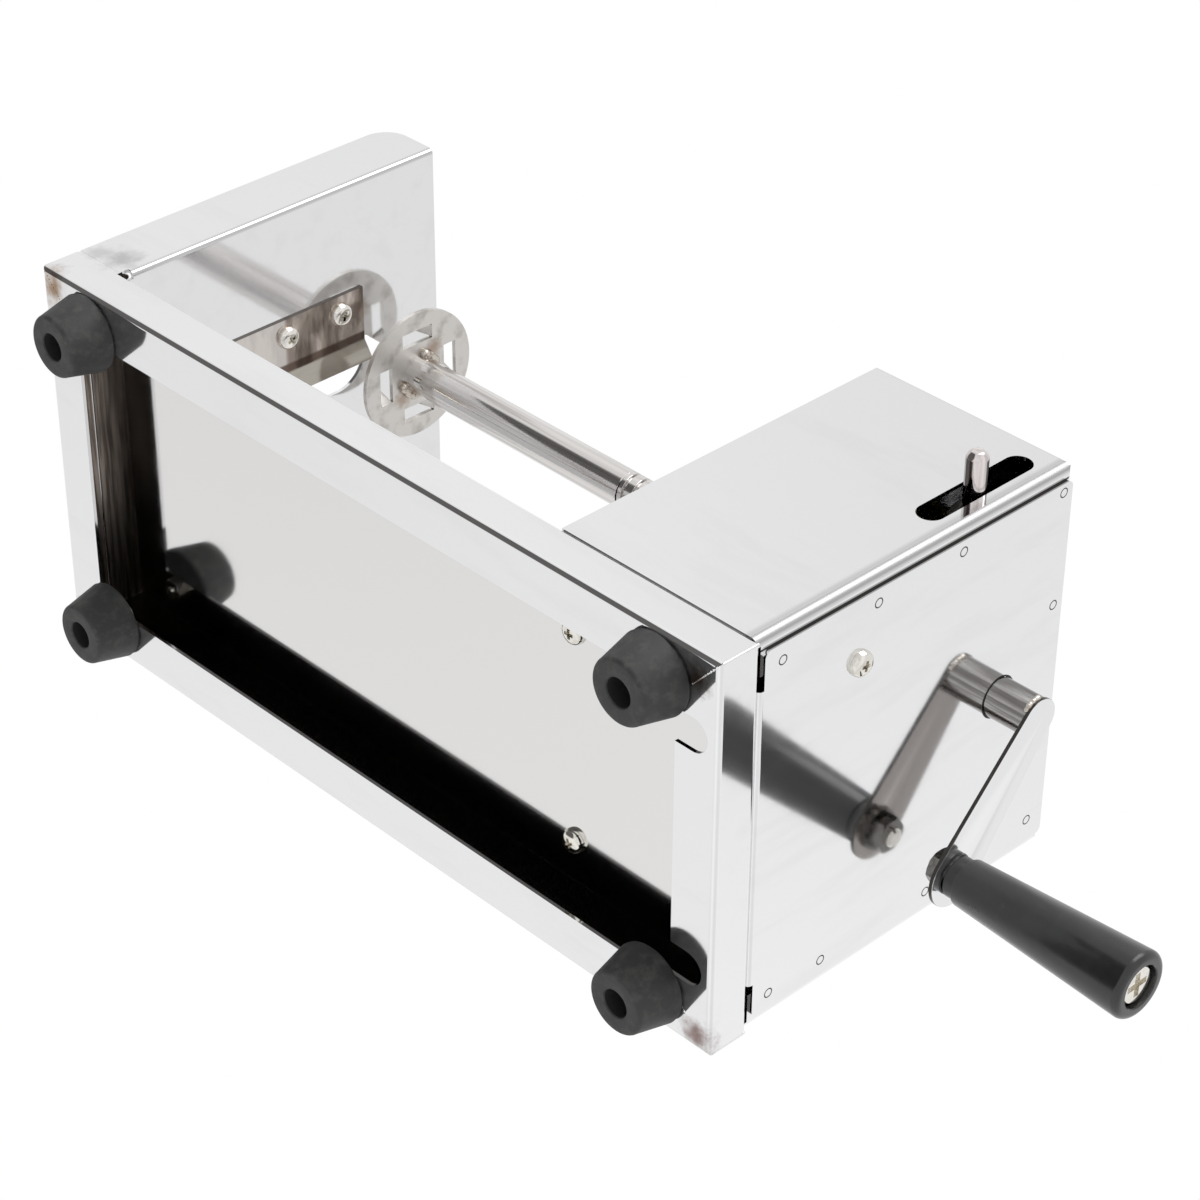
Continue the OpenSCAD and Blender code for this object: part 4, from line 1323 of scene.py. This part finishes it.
@dataclass
class PanScrews(Assembly):
    """M4 pan head screws with a cross recess and a threaded shank."""

    radius: float = 2.0
    head_radius: float = 3.9
    head: float = 2.5
    crown: Outline = (
        (-1, 0), (-0.992, 0.26), (-0.965, 0.52), (-0.88, 0.72), (-0.72, 0.87), (-0.5, 0.955),
        (-0.22, 1), (-0.05, 1), (0, 0.97), (0, 0),
    )
    pitch: float = 0.7
    thread_depth: float = 0.4
    crest: Span = (0.42, 0.58)
    core_drop: float = 0.02
    core_overlap: float = 0.2
    plain: float = 0.9
    tip: float = 0.5
    cross_length: float = 4.6
    cross_width: float = 1.2
    cross_depth: float = 1.6
    cross_taper: Point = (1, 0.45, 0.8)

    def build(self) -> None:
        """Makes every group of screws."""
        groups: dict[str, list[ScrewPlace]] = {
            "blade_screws": [
                ScrewPlace(spot(22.5, -21.0, z), (0, 0, 180), 5.4, twist)
                for z, twist in ((95.8, 20), (74.0, 66))
            ],
            "housing_screws": [
                ScrewPlace(spot(218.8, y, 13.3), (0, -90, 0), 6.2, 33 + y) for y in (-35.6, 35.6)
            ],
            "spring_post_screw": [ScrewPlace(spot(285.8, -40.3, 53.0), (0, 0, 180), 23.0, 9)],
            "foot_screws": [
                ScrewPlace(spot(x, y, -6.0), (0, -90, 0), 11.2, 17 + x + y) for _, x, y in FOOT_PLACES
            ],
        }
        for node, places in groups.items():
            head = self.head_with_cross()
            screws = []
            for at in places:
                for part in (Workshop.copy(head), self.shank(at.shank)):
                    Workshop.settle(part, (0, 0, 0), (at.twist, 0, 0))
                    screws.append(Workshop.settle(part, at.place, at.turn))
            bpy.data.objects.remove(head)
            group = Workshop.join(f"{node}_cross_head", screws)
            self.fitter.fit(group, Body.FRAME, Slot.SCREW, PLATED, RECESS, stands_for=(node,))

    def head_with_cross(self) -> Piece:
        """Turns the pan head and cuts its tapered cross."""
        outline = [(along * self.head, out * self.head_radius) for along, out in self.crown]
        head = Workshop.turned("head", outline, steps=48)
        Workshop.two_slots(head)
        for turn in (0.0, 90.0):
            Workshop.cut(head, self.cross_wing(turn))
        bpy.ops.object.shade_smooth_by_angle(angle=math.radians(30))
        return head

    def cross_wing(self, turn: float) -> Piece:
        """Makes one tapered wing of the cross as a cutter.

        Args:
            turn: Its turn about the screw's axis, in degrees.

        Returns:
            The cutter, whose faces carry the second material.
        """
        wing = Workshop.block((2 * self.cross_depth, self.cross_length, self.cross_width))
        Workshop.settle(wing, (-self.head, 0, 0))
        bpy.ops.object.mode_set(mode="EDIT")
        bpy.ops.mesh.select_mode(type="VERT")
        bpy.ops.mesh.select_all(action="DESELECT")
        bpy.ops.object.mode_set(mode="OBJECT")
        for vertex in wing.data.vertices:
            vertex.select = vertex.co.x > (-self.head + self.cross_depth / 2) * MM
        bpy.ops.object.mode_set(mode="EDIT")
        bpy.ops.transform.resize(value=self.cross_taper)
        bpy.ops.object.mode_set(mode="OBJECT")
        Workshop.two_slots(wing)
        # the recess's faces take the second slot, painted near black for the shade in the cross
        for face in wing.data.polygons:
            face.material_index = 1
        return Workshop.settle(wing, (0, 0, 0), (turn, 0, 0))

    def shank(self, length: float) -> Piece:
        """Winds the screw's thread round a shank.

        Args:
            length: The shank's length, in millimetres.

        Returns:
            The shank, from the head's seat along X.
        """
        root = self.radius - self.thread_depth
        core = root - self.core_drop
        turns = int((length - self.plain) / self.pitch)
        rise, fall = self.crest
        thread = Workshop.threaded("shank_thread", [
            (0, root), (rise * self.pitch, self.radius), (fall * self.pitch, self.radius),
            (self.pitch, root),
        ], self.pitch, turns - 1, steps=24)
        bar = Workshop.turned("shank_core", [
            (-self.core_overlap, 0), (-self.core_overlap, core), (length - self.tip, core),
            (length, root - self.tip), (length, 0),
        ], steps=24)
        return Workshop.join("shank", [thread, bar])


@dataclass
class SheetWelds(Assembly):
    """What welding left on the sheet: seams and beads at the corners, ground welds and spot weld marks."""

    half_width: float = 65.0
    length: float = 285.8
    base_height: float = 14.5
    side_lip: float = 16.5
    end_lip: float = 15.5
    upright_depth: float = 21.7
    seam: Bead = Bead(80, 0.7, 0.14)
    seam_margin: float = 1.5
    seam_height: float = 0.62
    upright_bead: Bead = Bead(60, 0.36, 0.1)
    bead_inset: float = 0.25
    right_inset: float = 0.5
    bead_ends: Span = (1.2, 0.6)
    shade_lump: Bead = Bead(3, 0.9, 0.14)
    lump_inset: Point = (1.4, 1.2, -0.4)
    lump_run: Point = (0.6, 0.0, 0.8)
    fill: Point = (19.1, 1.3, 2.4)
    fill_inset: Point = (0.9, 0.67, 0.5)
    fill_cuts: int = 5
    fill_dent: float = 0.01
    mark: Outline = (
        (-0.2, 1.2), (-0.2, 1.6), (0.0, 1.6), (0.07, 1.5), (0.07, 1.3), (0.0, 1.2), (-0.2, 1.2),
    )
    marks: tuple[Span, ...] = (
        (-55.7, 23.0), (-56.4, 59.2), (-57.3, 92.7), (-58.0, 134.0), (-21.0, 133.9),
        (53.2, 130.9), (55.6, 87.0), (55.7, 43.5), (55.4, 22.7),
    )

    def build(self) -> None:
        """Makes the seams, the beads, the black lumps that stand in for the shade in the reliefs, the
        ground welds and the marks.
        """
        self.corner_seams()
        self.corner_beads()
        self.shade_the_reliefs()
        self.ground_welds()
        self.spot_marks()

    @staticmethod
    def straight(start: Point, end: Point) -> Callable[[float], Point]:
        """Returns the straight path between two places on the machine."""
        return lambda share: spot(*(a + (b - a) * share for a, b in zip(start, end)))

    def corner_seams(self) -> None:
        """Lays one flat bead along the mitre of each corner of the lips."""
        for end, x, x_in in (
            ("front", self.seam_margin, self.end_lip),
            ("rear", self.length - self.seam_margin, self.length - self.end_lip),
        ):
            for hand, side in (("left", -1), ("right", 1)):
                bead = Workshop.weld_bead(f"corner_seam_{end}_{hand}", self.straight(
                    (x, side * (self.half_width - self.seam_margin), self.seam_height),
                    (x_in, side * (self.half_width - self.side_lip), self.seam_height),
                ), self.seam)
                self.fitter.fit(bead, Body.FRAME, Slot.SHEET, SHEET)

    def corner_beads(self) -> None:
        """Lays one thin upright bead where the rear wall of the base meets each side."""
        x = self.length - self.bead_inset
        low, high = self.bead_ends
        for name, y in (
            ("rear_left", self.bead_inset - self.half_width),
            ("rear_right", self.half_width - self.right_inset),
        ):
            path = self.straight((x, y, low), (x, y, self.base_height - high))
            bead = Workshop.weld_bead(f"corner_bead_{name}", path, self.upright_bead)
            self.fitter.fit(bead, Body.FRAME, Slot.SHEET, SHEET)

    def shade_the_reliefs(self) -> None:
        """Fills the relief at the foot of each fold of the upright with a black lump that stands in for the
        shade in the notch.
        """
        x = self.upright_depth - self.lump_inset[0]
        z = self.base_height - self.lump_inset[2]
        along, across, up = self.lump_run
        for name, side in (("left", -1), ("right", 1)):
            y = side * (self.half_width - self.lump_inset[1])
            path = self.straight((x, y, z), (x + along, y + across, z + up))
            lump = Workshop.weld_bead(f"relief_weld_{name}", path, self.shade_lump)
            # the lump is painted black for the shade in the notch
            self.fitter.fit(lump, Body.FRAME, Slot.SHEET, RELIEF_SHADE)

    def ground_welds(self) -> None:
        """Fills the groove between the upright's flanges and the base with a weld that is ground flush."""
        x = self.upright_depth / 2 - self.fill_inset[0]
        z = self.base_height - self.fill_inset[2]
        for name, side in (("left", -1), ("right", 1)):
            fill = Workshop.label(Workshop.block(self.fill), f"ground_weld_{name}")
            Workshop.settle(fill, spot(x, side * (self.half_width - self.fill_inset[1]), z))
            bpy.ops.object.mode_set(mode="EDIT")
            bpy.ops.mesh.select_all(action="SELECT")
            bpy.ops.mesh.subdivide(number_cuts=self.fill_cuts)
            bpy.ops.mesh.select_all(action="SELECT")
            bpy.ops.transform.vertex_random(offset=self.fill_dent * MM, seed=7)
            Workshop.close(fill, 40.0)
            self.fitter.fit(fill, Body.FRAME, Slot.SHEET, SHEET)

    def spot_marks(self) -> None:
        """Presses a shallow ring into the end plate at each spot weld."""
        mark = Workshop.turned("spot_mark", self.mark, steps=32)
        twins = [Workshop.settle(Workshop.copy(mark), spot(self.length, y, z)) for y, z in self.marks]
        bpy.data.objects.remove(mark)
        self.fitter.fit(Workshop.join("spot_weld_marks", twins), Body.FRAME, Slot.SHEET, SPOT_MARK)


def dress_frame(finishes: Finishes, nodes: dict[str, Piece]) -> None:
    """Gives every CAD node its finish.

    Args:
        finishes: The finishes built so far.
        nodes: The frame's nodes by name.
    """
    wear: dict[Metal | Moulding, tuple[str, ...]] = {
        SHEET: ("base_pan", "front_upright", "housing_cover", "housing_front_wall"),
        END_PLATE: ("housing_end_plate",),
        BLADE: ("blade",),
        TURNED: ("push_rod", "lever_pivot", "lever_spring"),
        PLATE: ("drive_disc", "release_lever", "lever_clip"),
        ARM: ("crank_arm",),
        DARK_NUT: ("handle_nut", "handle_washer"),
        BRASS: ("front_bush", "half_nut"),
        NYLON: ("rear_bush",),
        PHENOLIC: ("handle_grip",),
        RUBBER: tuple(name for name, _, _ in FOOT_PLACES),
    }
    finish_of = {name: finish for finish, names in wear.items() for name in names}
    for name, node in nodes.items():
        finish = finish_of.get(name, PLATED)
        finishes.put(node, finish)
        LOG.info("%s: %s", name, finish.name)


def main() -> None:
    """Loads the frame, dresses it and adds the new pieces."""
    logging.basicConfig(level=logging.INFO, format="%(name)s: %(message)s")
    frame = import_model()
    Studio().build()
    finishes = Finishes()
    dress_frame(finishes, frame["nodes"])
    fitter = Fitter(finishes)
    for assembly in (PushRod, CrankArm, Handle, ReleasePin, Feet, PanScrews, SheetWelds):
        assembly(fitter).build()


if __name__ == "__main__":
    main()
